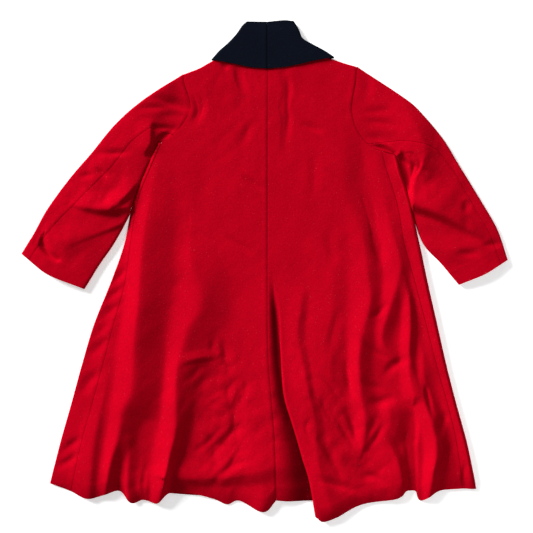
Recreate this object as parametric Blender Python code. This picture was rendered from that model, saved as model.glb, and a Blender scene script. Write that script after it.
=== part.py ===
"""Cavalry cloak of scarlet melton with a deep navy collar, lying flat with its back upwards.

The two fronts lie on the table and wrap round the sides to the side seams. The two backs lie over
them and meet at the centre-back seam, with a knife pleat that opens towards the hem. Each sleeve is
a flattened tube of a top sleeve and an under sleeve, and the collar is a stand with a two-part fall.
Tables are in millimetres: x to the right, y towards the collar, z up from the table.
"""

import math
from collections import namedtuple

import bmesh
import bpy
import numpy as np

MM = 0.001

# Cloth, and how the layers lie on each other.
CLOTH = 2.0
COLLAR_CLOTH = 2.2
SEAM_GAP = 0.3
LOWER = CLOTH / 2  # middle of the layer on the table
UPPER = 11.0  # middle of the upper layer where it lies flat
TURN = (UPPER - LOWER) / 2  # how far a rolled edge lies outside the flat layers
HIGHEST_EDGE = 19.0
LAP_RISE = CLOTH + SEAM_GAP  # the right front lies on the left front
COLLAR_RISE = COLLAR_CLOTH + SEAM_GAP  # the fronts lie on the collar's front ends
FALL_LOWER = COLLAR_CLOTH / 2
FALL_UPPER = 14.8
HEM_DROOP = 60.0  # length of the slope down to the hem
HEM_KEEP = 0.6  # share of a fold's height that is left at the hem
SLEEVE_CROWN = 9.0
SLEEVE_RISE = 0.15  # share of the sleeve's length over which it rises from the armhole
SLEEVE_MARGIN = 0.2  # share of its width over which folds fade to each edge
SIDE_GAP = CLOTH + 1.2  # from the middle of a sleeve's edge to that of the side beside it
ROLL_GAP = SEAM_GAP + 0.6  # beside an edge that leans because it is rolled
SHOULDER_GAP = 0.6  # how far each layer stops short of the shoulder seam

# Steps along and across the pieces.
SIDE_STEPS = 14
ARMHOLE_STEPS = 6
BACK_STEPS = 24
NECK_STEPS = 4
FLOOR_STEPS = 2
FLAP_STEPS = 20
FRONT_STEPS = 3
STRIP_STEPS = 2
TURN_STEPS = 4
SHOULDER_STEPS = TURN_STEPS // 2  # from a layer's edge to the shoulder seam
STATION_STEPS = 2
COLLAR_STEPS = 5
COLLAR_ROWS = 4
STAND_ROWS = 2
CREST_STEPS = 10  # along a fold's crest
SPAN_STEPS = 16  # between two points of a smooth curve
FINE_STEPS = 40

SIDES = {"left": -1, "right": 1}

Colour = namedtuple("Colour", "red green blue roughness")
SCARLET = Colour(0.55, 0.003, 0.012, 0.95)
NAVY = Colour(0.006, 0.008, 0.014, 0.95)

# The body from hem to underarm: its rolled edges, the side seams on the back, and the centre back.
Section = namedtuple("Section", "y left_edge left_seam centre right_seam right_edge")
SECTIONS = [
    Section(-480, -571, -511, 28, 536, 565),
    Section(-370, -540, -481, 20, 510, 535),
    Section(-260, -510, -451, 11, 479, 507),
    Section(-150, -477, -422, 8, 451, 482),
    Section(-35, -431, -390, 8, 421, 456),
    Section(75, -392, -374, 8, 391, 433),
    Section(190, -368, -355, 8, 370, 406),
    Section(285, -330, -319, 8, 340, 378),
]
EDGE_AT_HEM = {"left": (-600, -595), "right": (592, -609)}
SEAM_AT_HEM = {"left": (-541, -617), "right": (554, -609)}
CENTRE_AT_HEM = (33, -640)
CENTRE_AT_NECK = (8, 598)
UNDERARM = {"left": (-297, 357), "right": (367, 323)}
SEAM_TOP = {"left": (-286, 362), "right": (328, 334)}
ARMHOLE = {
    "left": [(-271, 368), (-244, 391), (-221, 421), (-207, 455), (-213, 489), (-223, 519)],
    "right": [(300, 346), (272, 374), (252, 413), (244, 452), (248, 491), (255, 531)],
}
SHOULDER = {"left": (-227, 550), "right": (258, 571)}
SHOULDER_LINE = {"left": [(-182, 567), (-146, 587)], "right": [(224, 581), (193, 592)]}
NECK_POINT = {"left": (-81, 617), "right": (101, 626)}
FRONT_NECK_Y = 585.0
CHEST_Y = 330.0  # from here up to the next level the fronts rise on to the collar
COLLAR_Y = 500.0
FRONT_HEM = [(-600, -595), (-406, -612), (0, -637), (378, -617), (592, -609)]
LAP_HALF = 45.0  # each front passes the centre by this much
LAP_CLEAR = 2.0
LAP_RAMP = 20.0  # length over which the right front comes down off the left

# Lower edge of each back, from the side seam to the centre back.
BACK_HEM_LEFT = [
    (-541, -617), (-490, -636), (-409, -615), (-372, -648), (-339, -640), (-300, -648), (-270, -623),
    (-210, -622), (-143, -638), (-104, -654), (-70, -643), (-3, -673), CENTRE_AT_HEM,
]
FLOOR_HEM = [CENTRE_AT_HEM, (70, -643), (132, -643)]
FLAP_HEM = [
    (144, -690), (160, -700), (199, -687), (266, -654), (364, -637), (398, -616), (423, -617),
    (437, -643), (484, -616), SEAM_AT_HEM["right"],
]

# The knife pleat of the right back: where its folded edge lies, and how deep it tucks in.
Pleat = namedtuple("Pleat", "y edge depth")
PLEAT = [
    Pleat(-585, 125, 60), Pleat(-530, 108, 52), Pleat(-470, 91, 44), Pleat(-415, 74, 36),
    Pleat(-360, 57, 28), Pleat(-290, 46, 20), Pleat(-220, 38, 12), Pleat(-135, 32, 4),
    Pleat(-50, 25, 0), Pleat(100, 20, 0), Pleat(597, 20, 0),
]
PLEAT_LAYER = 8.0  # between the layers of the pleat
PLEAT_DIP = 4.0  # how far the tucked layer sinks
PLEAT_FORMED = 24.0  # the depth from which the pleat is a full fold
PLEAT_SPREAD = 150.0  # how far the flap takes to come down beyond the tuck
FLAT_SPACING = 1.6  # between the tuck's columns where it has run out

# The tuck across the pleat, from the tucked layer round to the flap. Along counts in depths, turn in
# half layers and rise in layers. Share says how much a column follows the flap's lower edge.
Tuck = namedtuple("Tuck", "along turn rise share")
TUCK = [
    Tuck(0.6, 0, 0, 0.0), Tuck(1, 0, 0, 0.1), Tuck(1, 0.9, 0.5, 0.3), Tuck(1, 0, 1, 0.4),
    Tuck(0.5, 0, 1, 0.6), Tuck(0, 1, 1, 0.85), Tuck(0, 0, 1.5, 0.95),
]

# A fold's crest runs through three points, downwards or to the right. Heights are at those points.
Fold = namedtuple("Fold", "x0 y0 x1 y1 x2 y2 h0 h1 h2 left right")
BODY_FOLDS = [
    Fold(-333, 200, -366, -260, -440, -598, 4, 22, 22, 40, 45),
    Fold(-204, 60, -238, -276, -283, -626, 3, 16, 32, 35, 24),
    Fold(-451, -360, -470, -486, -490, -626, 3, 13, 16, 28, 24),
    Fold(-367, -466, -372, -556, -375, -640, 3, 12, 16, 22, 28),
    Fold(-210, -542, -120, -552, -28, -542, 6, 9, 9, 36, 40),
    Fold(-8, -540, -6, -600, -6, -662, 3, 9, 14, 28, 22),
    Fold(98, -164, 120, -360, 182, -668, 3, 8, 16, 32, 55),
    Fold(266, 46, 272, -192, 266, -500, 4, 17, 13, 30, 26),
    Fold(353, 60, 339, -80, 314, -206, 5, 13, 9, 24, 24),
    Fold(389, -52, 395, -192, 406, -318, 5, 15, 11, 18, 20),
    Fold(406, -318, 445, -458, 451, -626, 8, 24, 26, 24, 40),
    Fold(330, -444, 362, -520, 376, -612, 6, 13, 18, 60, 20),
]
SLEEVE_FOLDS = {
    "left": [
        Fold(-322, 396, -350, 270, -400, 186, 8, 12, 8, 20, 18),
        Fold(-546, 158, -470, 150, -392, 130, 5, 10, 8, 20, 18),
        Fold(-590, 90, -560, 84, -520, 96, 6, 10, 6, 26, 26),
    ],
    "right": [
        Fold(308, 360, 378, 335, 442, 304, 6, 12, 12, 18, 18),
        Fold(412, 190, 504, 158, 590, 110, 10, 14, 6, 26, 18),
        Fold(470, 60, 540, 62, 600, 68, 3, 6, 3, 22, 22),
    ],
}

# Each sleeve below the armhole, to the cuff, and its hindarm seam on the back.
Station = namedtuple("Station", "outer_x outer_y inner_x inner_y seam")
SLEEVE = {
    "left": [
        Station(-335, 479, -304, 339, 0.42), Station(-413, 414, -321, 300, 0.53),
        Station(-483, 330, -346, 244, 0.56), Station(-547, 255, -374, 165, 0.67),
        Station(-606, 174, -421, 78, 0.775), Station(-645, 104, -461, 20, 0.85),
        Station(-679, 48, -505, -50, 0.86),
    ],
    "right": [
        Station(396, 479, 371, 308, 0.325), Station(444, 434, 382, 266, 0.555),
        Station(500, 367, 396, 227, 0.8), Station(547, 290, 413, 165, 0.88),
        Station(603, 199, 444, 78, 0.87), Station(651, 115, 494, 22, 0.86),
        Station(679, 31, 545, -38, 0.85),
    ],
}
CUFF_SAG = {"left": (-600, -12), "right": (612, -10)}
HINDARM_STEP = 1  # the armhole step where the hindarm seam meets it
MOUTH_HOLD = 16  # how quickly the rows of a sleeve straighten away from the armhole
CUFF_HOLD = 3
HEM_HOLD = 3

# Outline of the collar's fall as it lies: its sides from the lower corner up, then both edges.
FALL_SIDE = {
    "left": [(-148, 590), (-126, 615), (-101, 637), (-78, 662), (-62, 685), (-50, 696)],
    "right": [(195, 597), (168, 615), (134, 633), (106, 650), (96, 674), (82, 697)],
}
FALL_EDGE = {
    "left": [(-148, 590), (-84, 578), (-42, 569), (8, 565)],
    "right": [(195, 597), (140, 587), (98, 577), (56, 569), (8, 565)],
}
FALL_TOP = {"left": [(-50, 696), (8, 695)], "right": [(82, 697), (58, 699), (8, 695)]}
STAND_SIDE = {"left": [(-77, 612.6), (-40, 688)], "right": [(97, 621.6), (72, 688)]}
ROLL_DROP = 1.6  # how far the fall's upper edge rolls towards the back of the stand


def spline(points, per_span):
    """A smooth curve through the points, with per_span steps from each to the next."""
    p = np.array(points, float)
    ends = np.vstack([2 * p[0] - p[1], p, 2 * p[-1] - p[-2]])
    t = np.linspace(0, 1, per_span + 1)[:-1, None]
    spans = []
    for a, b, c, d in zip(ends, ends[1:], ends[2:], ends[3:]):
        bend = t**2 * (a - 2.5 * b + 2 * c - d / 2) + t**3 * (3 * b - 3 * c + d - a) / 2
        spans.append(b + t * (c - a) / 2 + bend)
    return np.vstack([*spans, p[-1:]])


def through(points, count):
    """A smooth curve through the points, as count + 1 places evenly spaced along it."""
    fine = spline(points, SPAN_STEPS)
    along = np.concatenate([[0], np.cumsum(np.linalg.norm(np.diff(fine, axis=0), axis=1))])
    at = np.linspace(0, along[-1], count + 1)
    return np.stack([np.interp(at, along, fine[:, k]) for k in (0, 1)], axis=1)


def bulge(row):
    """How far a row's places lie from even steps between its ends."""
    u = np.linspace(0, 1, len(row))[:, None]
    return row - row[0] * (1 - u) - row[-1] * u


def patch(first, last, low, high, low_hold=1, high_hold=1):
    """Rows from the first edge to the last. The low and high rows' shapes fade along the edges."""
    v = np.linspace(0, 1, len(first))[:, None, None]
    u = np.linspace(0, 1, len(low))[None, :, None]
    straight = first[:, None] * (1 - u) + last[:, None] * u
    return straight + bulge(low) * (1 - v) ** low_hold + bulge(high) * v**high_hold


def smooth(x, start, end):
    """0 before start, 1 after end, and an even rise between them."""
    t = np.clip((np.asarray(x, float) - start) / (end - start), 0, 1)
    return t * t * (3 - 2 * t)


def unit(vectors):
    return vectors / np.linalg.norm(vectors, axis=-1, keepdims=True)


def right_hand(curve):
    """Unit vectors square to a curve, on its right hand."""
    run = unit(np.gradient(curve, axis=0))
    return np.stack([run[:, 1], -run[:, 0]], axis=1)


def fold_height(folds, xy):
    """How far the folds lift the cloth at each place."""
    total = np.zeros(xy.shape[:-1])
    for f in folds:
        crest = through([(f.x0, f.y0), (f.x1, f.y1), (f.x2, f.y2)], CREST_STEPS)
        nearest = np.full(total.shape, np.inf)
        lift = np.zeros(total.shape)
        for k, (a, b) in enumerate(zip(crest, crest[1:])):
            run = b - a
            t = np.clip(((xy - a) @ run) / (run @ run), 0, 1)
            off = xy - (a + t[..., None] * run)
            distance = np.linalg.norm(off, axis=-1)
            on_right = run[0] * off[..., 1] - run[1] * off[..., 0] > 0
            width = np.where(on_right, f.right, f.left)
            height = np.interp((k + t) / (len(crest) - 1), [0, 0.5, 1], [f.h0, f.h1, f.h2])
            nearer = distance < nearest
            lift = np.where(nearer, height * np.exp(-((distance / width) ** 2)), lift)
            nearest = np.minimum(nearest, distance)
        total += lift
    return total


def front_hem(x):
    """The fronts' lower edge at a distance across."""
    line = through(FRONT_HEM, FINE_STEPS)
    return np.interp(x, line[:, 0], line[:, 1])


def upper(xy):
    """Height of the body's upper layer."""
    droop = smooth(xy[..., 1] - front_hem(xy[..., 0]), 0, HEM_DROOP)
    return UPPER + fold_height(BODY_FOLDS, xy) * (HEM_KEEP + (1 - HEM_KEEP) * droop)


def lower(xy):
    """Height of the layer on the table, which rises over the collar's front ends."""
    return LOWER + COLLAR_RISE * smooth(xy[..., 1], CHEST_Y, COLLAR_Y)


def lifted(xy, z):
    """Places across and along, with a height."""
    return np.concatenate([xy, np.broadcast_to(z, xy.shape[:-1])[..., None]], axis=-1)


def turn(edge, out, start, end):
    """Half-round turns between two heights, with their outermost points on the edge."""
    radius = np.abs(end - start) / 2
    rows = []
    for k in range(TURN_STEPS + 1):
        angle = math.pi * (k / TURN_STEPS - 0.5)
        xy = edge - out * (radius * (1 - math.cos(angle)))[:, None]
        rows.append(lifted(xy, (start + end) / 2 + (end - start) / 2 * math.sin(angle)))
    return np.stack(rows)


def column(side, name):
    """One column of the sections, hem to underarm."""
    return [(getattr(s, f"{side}_{name}"), s.y) for s in SECTIONS]


def side_edge(side):
    return through([EDGE_AT_HEM[side], *column(side, "edge"), UNDERARM[side]], SIDE_STEPS)


def side_seam(side):
    return through([SEAM_AT_HEM[side], *column(side, "seam"), SEAM_TOP[side]], SIDE_STEPS)


def armhole(side, out):
    """From the top of the side seam to just inside the shoulder's roll, moved out to the sleeve."""
    x, y = SHOULDER[side]
    line = through([SEAM_TOP[side], *ARMHOLE[side], (x, y - TURN)], ARMHOLE_STEPS)
    return line + right_hand(line) * SIDES[side] * out


def shoulder_ends(side):
    """The flat part's corners at the shoulder and at the neck."""
    (x, y), (neck_x, neck_y) = SHOULDER[side], NECK_POINT[side]
    return np.array([(x, y - TURN), (neck_x, neck_y - TURN)], float)


def material(name, colour):
    made = bpy.data.materials.new(name)
    made.use_nodes = True
    shader = made.node_tree.nodes["Principled BSDF"]
    shader.inputs["Base Color"].default_value = (colour.red, colour.green, colour.blue, 1)
    shader.inputs["Roughness"].default_value = colour.roughness
    shader.inputs["Metallic"].default_value = 0
    return made


def wall(name, grid, colour, thickness=CLOTH, bare=()):
    """A cloth wall round a grid of middle points. Bare cells, by row and column, have no cloth."""
    rows, columns = grid.shape[:2]
    bm = bmesh.new()
    at = [[bm.verts.new(grid[i, j] * MM) for j in range(columns)] for i in range(rows)]
    for i in range(rows - 1):
        for j in range(columns - 1):
            if (i, j) not in bare:
                bm.faces.new((at[i][j], at[i][j + 1], at[i + 1][j + 1], at[i + 1][j]))
    bmesh.ops.delete(bm, geom=[v for v in bm.verts if not v.link_faces], context="VERTS")
    bmesh.ops.recalc_face_normals(bm, faces=bm.faces)
    mesh = bpy.data.meshes.new(name)
    bm.to_mesh(mesh)
    bm.free()
    mesh.shade_smooth()
    mesh.materials.append(material(f"{name} cloth", colour))
    made = bpy.data.objects.new(name, mesh)
    bpy.context.scene.collection.objects.link(made)
    solid = made.modifiers.new("cloth thickness", "SOLIDIFY")
    solid.thickness = thickness * MM
    solid.offset = 0


def shoulder_roll(row, end):
    """Rows that roll a layer's upper edge out to the shoulder seam, half-way to the other layer."""
    out = np.zeros((len(row), 2))
    out[:, 1] = 1
    radius = np.abs(end - row[:, 2]) / 2
    rows = turn(row[:, :2] + out * radius[:, None], out, row[:, 2], end)[1 : SHOULDER_STEPS + 1]
    rows[-1, :, 2] -= np.sign(end - row[:, 2]) * SHOULDER_GAP
    return rows


def back_top(side, centre, steps):
    """The upper edge of a back: its shoulder, then its half of the neck."""
    ends = shoulder_ends(side)
    line = [(x, y - TURN) for x, y in SHOULDER_LINE[side]]
    shoulder = through([ends[0], *line, ends[1]], steps - NECK_STEPS)
    return np.vstack([shoulder, through([ends[1], centre], NECK_STEPS)[1:]])


def with_roll(side, grid):
    """The back's grid with the shoulder rolled over, and the cells beyond the neck left bare."""
    rows, columns = grid.shape[:2]
    edge = grid[-1]
    ends = shoulder_ends(side)
    across = (edge[:, :1] - ends[0, 0]) / (ends[1, 0] - ends[0, 0])
    straight = ends[0] + across * (ends[1] - ends[0])
    rolled = shoulder_roll(edge, lower(edge[:, :2]))
    for k, each in enumerate(rolled, 1):
        each[:, :2] += (straight - edge[:, :2]) * k / TURN_STEPS
    neck = range(columns - 1 - NECK_STEPS, columns - 1)
    bare = {(i, j) for i in range(rows - 1, rows - 1 + SHOULDER_STEPS) for j in neck}
    return np.concatenate([grid, rolled]), bare


def centre_back():
    line = [CENTRE_AT_HEM, *[(s.centre, s.y) for s in SECTIONS], CENTRE_AT_NECK]
    return through(line, SIDE_STEPS + ARMHOLE_STEPS)


def back_outline(side):
    """The side seam and armhole of a back, half a seam gap inside."""
    seam = side_seam(side) - SIDES[side] * np.array([SEAM_GAP / 2, 0])
    return np.vstack([seam, armhole(side, -SEAM_GAP / 2)[1:]])


def back_left():
    outer = back_outline("left")
    centre = centre_back() - [SEAM_GAP / 2, 0]
    hem = through(BACK_HEM_LEFT, BACK_STEPS)
    top = back_top("left", centre[-1], BACK_STEPS)
    xy = patch(outer, centre, hem, top, HEM_HOLD, HEM_HOLD)
    grid, bare = with_roll("left", lifted(xy, upper(xy)))
    wall("back_left", grid, SCARLET, bare=bare)


def flap_height(xy, edge, depth, formed):
    """The upper layer right of the pleat, which lies on the tuck and comes down beyond it."""
    beyond = xy[..., 0] - edge[:, None] - depth[:, None]
    lift = (2 * PLEAT_LAYER - PLEAT_DIP) * formed[:, None]
    return upper(xy) + lift * (1 - smooth(beyond, PLEAT_LAYER, PLEAT_LAYER + PLEAT_SPREAD))


def back_right():
    outer = back_outline("right")
    centre = centre_back() + [SEAM_GAP / 2, 0]
    rows = len(outer) - 1
    line = [(p.edge, p.y) for p in PLEAT]
    floor_edge = through([FLOOR_HEM[-1], *line], rows)
    flap_edge = through([FLAP_HEM[0], *line], rows)
    levels = [p.y for p in PLEAT]
    depth = np.interp(floor_edge[:, 1], levels, [p.depth for p in PLEAT])
    formed = smooth(depth, 0, PLEAT_FORMED)
    half = PLEAT_LAYER / 2

    floor_top = through([centre[-1], floor_edge[-1]], FLOOR_STEPS)
    floor_xy = patch(centre, floor_edge, through(FLOOR_HEM, FLOOR_STEPS), floor_top)
    sunk = PLEAT_DIP * formed[:, None] * smooth(np.arange(FLOOR_STEPS + 1), 0, FLOOR_STEPS)
    floor = lifted(floor_xy, upper(floor_xy) - sunk)

    first = flap_edge.copy()
    first[:, 0] += half * formed + (len(TUCK) + 1) * FLAT_SPACING * (1 - formed)
    top = back_top("right", first[-1], FLAP_STEPS)[::-1]
    flap_xy = patch(first, outer, through(FLAP_HEM, FLAP_STEPS), top, HEM_HOLD, HEM_HOLD)
    flap = lifted(flap_xy, flap_height(flap_xy, floor_edge[:, 0], depth, formed))

    tucks = []
    for k, t in enumerate(TUCK, 1):
        edge = floor_edge * (1 - t.share) + flap_edge * t.share
        full = edge[:, 0] + t.along * depth + t.turn * half
        flat = edge[:, 0] + k * FLAT_SPACING
        x = full * formed + flat * (1 - formed)
        even = k / (len(TUCK) + 1)
        flat_z = floor[:, -1, 2] * (1 - even) + flap[:, 0, 2] * even
        full_z = floor[:, -1, 2] + (flap[:, 0, 2] - floor[:, -1, 2]) * t.rise / 2
        z = full_z * formed + flat_z * (1 - formed)
        tucks.append(np.stack([x, edge[:, 1], z], axis=1))
    grid = np.concatenate([floor, np.stack(tucks, axis=1), flap], axis=1)
    rolled, bare = with_roll("right", grid[:, ::-1])
    neck = NECK_STEPS + len(TUCK) + 1 + FLOOR_STEPS
    columns = rolled.shape[1] - 1
    bare |= {(i, j) for i in range(rows, rows + SHOULDER_STEPS) for j in range(columns - neck, columns)}
    wall("back_right", rolled, SCARLET, bare=bare)


def front(side):
    """The layer on the table from the centre front, and its wrap round the side to the side seam."""
    sign = SIDES[side]
    edge = side_edge(side)
    out = right_hand(edge) * sign
    top = np.minimum(upper(edge), HIGHEST_EDGE)
    low = lower(edge)
    flat_edge = edge - out * ((top - low) / 2)[:, None]
    outer = np.vstack([flat_edge, armhole(side, -SEAM_GAP / 2)])
    centre = CENTRE_AT_NECK[0]
    ends = shoulder_ends(side)
    stops = [centre - sign * LAP_HALF]
    if side == "right":
        stops += [centre, centre + LAP_HALF + LAP_CLEAR]
    start = centre + LAP_HALF + LAP_CLEAR + LAP_RAMP if side == "right" else stops[0]

    def neck_y(x):
        return FRONT_NECK_Y + (ends[1, 1] - FRONT_NECK_Y) * (x - stops[0]) / (ends[1, 0] - stops[0])

    outer[-1] = ends[0] - [sign * ROLL_GAP, 0]
    ends[0] = outer[-1]
    corner = (start, neck_y(start))
    rows = len(outer) - 1
    inner = through([(start, front_hem(start)), corner], rows)
    hem_x = np.linspace(flat_edge[0, 0], start, FRONT_STEPS + 1)
    hem = np.stack([hem_x, front_hem(hem_x)], axis=1)
    hem[0] = flat_edge[0]
    shoulder = 1 if side == "left" else FRONT_STEPS - 1
    neck = through([ends[1], corner], FRONT_STEPS - shoulder)
    high = np.vstack([through([ends[0], ends[1]], shoulder), neck[1:]])
    xy = patch(outer, inner, hem, high)[:, ::-1]
    flat = lifted(xy, lower(xy))
    if side == "right":
        lap = []
        for x in stops:
            run = through([(x, front_hem(x)), (x, neck_y(x))], rows)
            lap.append(lifted(run, lower(run) + LAP_RISE))
        flat = np.concatenate([np.stack(lap, axis=1), flat], axis=1)

    edge_row = flat[-1]
    over = shoulder_roll(edge_row, upper(edge_row[:, :2]))
    beyond = range(flat.shape[1] - 1 - shoulder)
    bare = {(i, j) for i in range(rows, rows + SHOULDER_STEPS) for j in beyond}
    wall(f"front_{side}", np.concatenate([flat, over]), SCARLET, bare=bare)

    rolled = turn(edge, out, low, top).transpose(1, 0, 2)
    rolled[:, 0, :2] += out * ROLL_GAP
    seam = side_seam(side) + sign * np.array([SEAM_GAP / 2, 0])
    share = np.linspace(0, 1, STRIP_STEPS + 1)[1:, None]
    strip_xy = flat_edge[:, None] * (1 - share) + seam[:, None] * share
    strip = lifted(strip_xy, upper(strip_xy))
    wall(f"front_{side}_wrap", np.concatenate([rolled, strip], axis=1), SCARLET)


def sleeve_edges(side):
    """The inner and outer edges of a sleeve, armhole to cuff, clear of the body's side."""
    sign = SIDES[side]
    stations = SLEEVE[side]
    outer = spline([SHOULDER[side], *[(s.outer_x, s.outer_y) for s in stations]], STATION_STEPS)
    outer[0] += [sign * ROLL_GAP, 0]
    inner = spline([UNDERARM[side], *[(s.inner_x, s.inner_y) for s in stations]], STATION_STEPS)
    body = side_edge(side)
    beside = sign * np.interp(inner[:, 1], body[:, 1], body[:, 0]) + SIDE_GAP
    inner[:, 0] = sign * np.maximum(sign * inner[:, 0], beside)
    inner[1] = inner[0] + [0, 2 * ROLL_GAP]
    inner[0] = armhole(side, CLOTH / 2 + SEAM_GAP)[0]
    return inner, outer


def halved(row):
    """A row with a place added halfway between each two."""
    middles = (row[1:] + row[:-1]) / 2
    return np.vstack([np.stack([row[:-1], middles], axis=1).reshape(-1, 2), row[-1:]])


def sleeve(side):
    """A flattened tube, cut along the hindarm seam on the back and the forearm seam beneath."""
    inner, outer = sleeve_edges(side)
    rows = len(inner)
    mouth = np.vstack([inner[:1], armhole(side, SEAM_GAP / 2)[1:-1], outer[:1]])
    steps = len(mouth) - 1
    cuff = through([inner[-1], CUFF_SAG[side], outer[-1]], steps)
    seams = [s.seam for s in SLEEVE[side]]
    share = np.interp(np.arange(rows) / STATION_STEPS, np.arange(1, len(seams) + 1), seams)[:, None]
    hindarm = inner * (1 - share) + outer * share
    hindarm[0] = mouth[HINDARM_STEP]
    sag = bulge(through([inner[-1], CUFF_SAG[side], outer[-1]], FINE_STEPS))
    hindarm[-1] += sag[round(FINE_STEPS * seams[-1])]
    under_mouth = halved(halved(mouth[: HINDARM_STEP + 1]))
    under_cuff = through([inner[-1], CUFF_SAG[side], hindarm[-1]], len(under_mouth) - 1)
    top_cuff = through([hindarm[-1], outer[-1]], steps - HINDARM_STEP)
    under_xy = patch(inner, hindarm, under_mouth, under_cuff, MOUTH_HOLD, CUFF_HOLD)
    top_xy = patch(hindarm, outer, mouth[HINDARM_STEP:], top_cuff, MOUTH_HOLD, CUFF_HOLD)
    below_xy = patch(inner, outer, mouth, cuff, MOUTH_HOLD, CUFF_HOLD)

    def height(xy):
        """The sleeve's upper layer, crowned between its two edges."""
        width = np.linalg.norm(outer - inner, axis=1)[:, None]
        share = np.linalg.norm(xy - inner[:, None], axis=-1) / width
        crown = SLEEVE_CROWN * np.clip(4 * share * (1 - share), 0, 1)
        rise = smooth(np.linspace(0, 1, rows), 0, SLEEVE_RISE)[:, None]
        ends = smooth(share, 0, SLEEVE_MARGIN) * (1 - smooth(share, 1 - SLEEVE_MARGIN, 1))
        return UPPER + rise * (crown + fold_height(SLEEVE_FOLDS[side], xy) * ends)

    under = lifted(under_xy, height(under_xy))
    top = lifted(top_xy, height(top_xy))
    below = lifted(below_xy, lower(below_xy))
    under_out = unit(under_xy[:, 0] - under_xy[:, 1])
    top_out = unit(top_xy[:, -1] - top_xy[:, -2])
    inner_turn = turn(under_xy[:, 0], under_out, below[:, 0, 2], under[:, 0, 2]).transpose(1, 0, 2)
    outer_turn = turn(top_xy[:, -1], top_out, top[:, -1, 2], below[:, -1, 2]).transpose(1, 0, 2)
    gap = ROLL_GAP / 2
    top[:, 0, :2] += gap * unit(top_xy[:, 1] - top_xy[:, 0])
    under[:, -1, :2] -= gap * unit(under_xy[:, -1] - under_xy[:, -2])
    across = unit(below_xy[:, 1] - below_xy[:, 0])
    seam_out, seam_in = below[:, 1:2].copy(), below[:, 1:2].copy()
    seam_out[:, 0, :2] += gap * across
    seam_in[:, 0, :2] -= gap * across
    upper_part = [top[:, :-1], outer_turn, below[:, 2:-1][:, ::-1], seam_out]
    under_part = [seam_in, inner_turn, under[:, 1:]]
    wall(f"sleeve_{side}_top", np.concatenate(upper_part, axis=1), SCARLET)
    wall(f"sleeve_{side}_under", np.concatenate(under_part, axis=1), SCARLET)


def collar_fall(side):
    """Half of the fall: over the back, round the side's turn and under the front."""
    sign = SIDES[side]
    edge = through(FALL_SIDE[side], COLLAR_ROWS)
    low = through(FALL_EDGE[side], COLLAR_STEPS)
    high = through(FALL_TOP[side], COLLAR_STEPS)
    low[-1, 0] += sign * SEAM_GAP / 2
    high[-1, 0] += sign * SEAM_GAP / 2
    middle = through([low[-1], high[-1]], COLLAR_ROWS)
    xy = patch(edge, middle, low, high)
    roll = ROLL_DROP * (np.arange(COLLAR_ROWS + 1) == COLLAR_ROWS)
    back_z, front_z = FALL_UPPER - roll, np.full(COLLAR_ROWS + 1, FALL_LOWER)
    over = lifted(xy, back_z[:, None])
    under = lifted(xy, front_z[:, None])
    out = unit(xy[:, 0] - xy[:, 1])
    rolled = turn(edge, out, back_z, front_z).transpose(1, 0, 2)
    grid = np.concatenate([over[:, :0:-1], rolled, under[:, 1:]], axis=1)
    wall(f"collar_fall_{side}", grid, NAVY, thickness=COLLAR_CLOTH)


def collar_stand():
    """The stand as one band round the neck, open at the centre front."""
    middle = CENTRE_AT_NECK[0]
    back_z = np.full(STAND_ROWS + 1, UPPER)
    front_z = np.full(STAND_ROWS + 1, FALL_LOWER + COLLAR_CLOTH + SEAM_GAP)
    halves = []
    for side, sign in SIDES.items():
        edge = through(STAND_SIDE[side], STAND_ROWS)
        back_low = (middle, CENTRE_AT_NECK[1] + ROLL_GAP)
        front_low = (middle + sign * SEAM_GAP / 2, CENTRE_AT_NECK[1])
        top_y = STAND_SIDE[side][-1][1]
        back = patch(
            edge, through([back_low, (middle, top_y)], STAND_ROWS),
            through([edge[0], back_low], NECK_STEPS), through([edge[-1], (middle, top_y)], NECK_STEPS),
        )
        fore = patch(
            edge, through([front_low, (front_low[0], top_y)], STAND_ROWS),
            through([edge[0], front_low], NECK_STEPS), through([edge[-1], (front_low[0], top_y)], NECK_STEPS),
        )
        out = unit(edge - back[:, 1])
        rolled = turn(edge, out, front_z, back_z).transpose(1, 0, 2)
        fore = lifted(fore[:, :0:-1], front_z[:, None])
        halves.append(np.concatenate([fore, rolled, lifted(back[:, 1:], back_z[:, None])], axis=1))
    grid = np.concatenate([halves[0], halves[1][:, -2::-1]], axis=1)
    wall("collar_stand", grid, NAVY, thickness=COLLAR_CLOTH)


def main():
    for old in list(bpy.data.objects):
        bpy.data.objects.remove(old)
    back_left()
    back_right()
    for side in SIDES:
        front(side)
        sleeve(side)
        collar_fall(side)
    collar_stand()


main()
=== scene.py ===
"""Looks of the cavalry cloak: fine cloth shells over its solids, melton wool and a studio stage.

The shells are drawn from the same sections, seams and folds as the solids, with the smaller creases
added. Tables are in millimetres: x to the right, y towards the collar, z up from the table.
"""

import math
from collections import namedtuple

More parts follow.
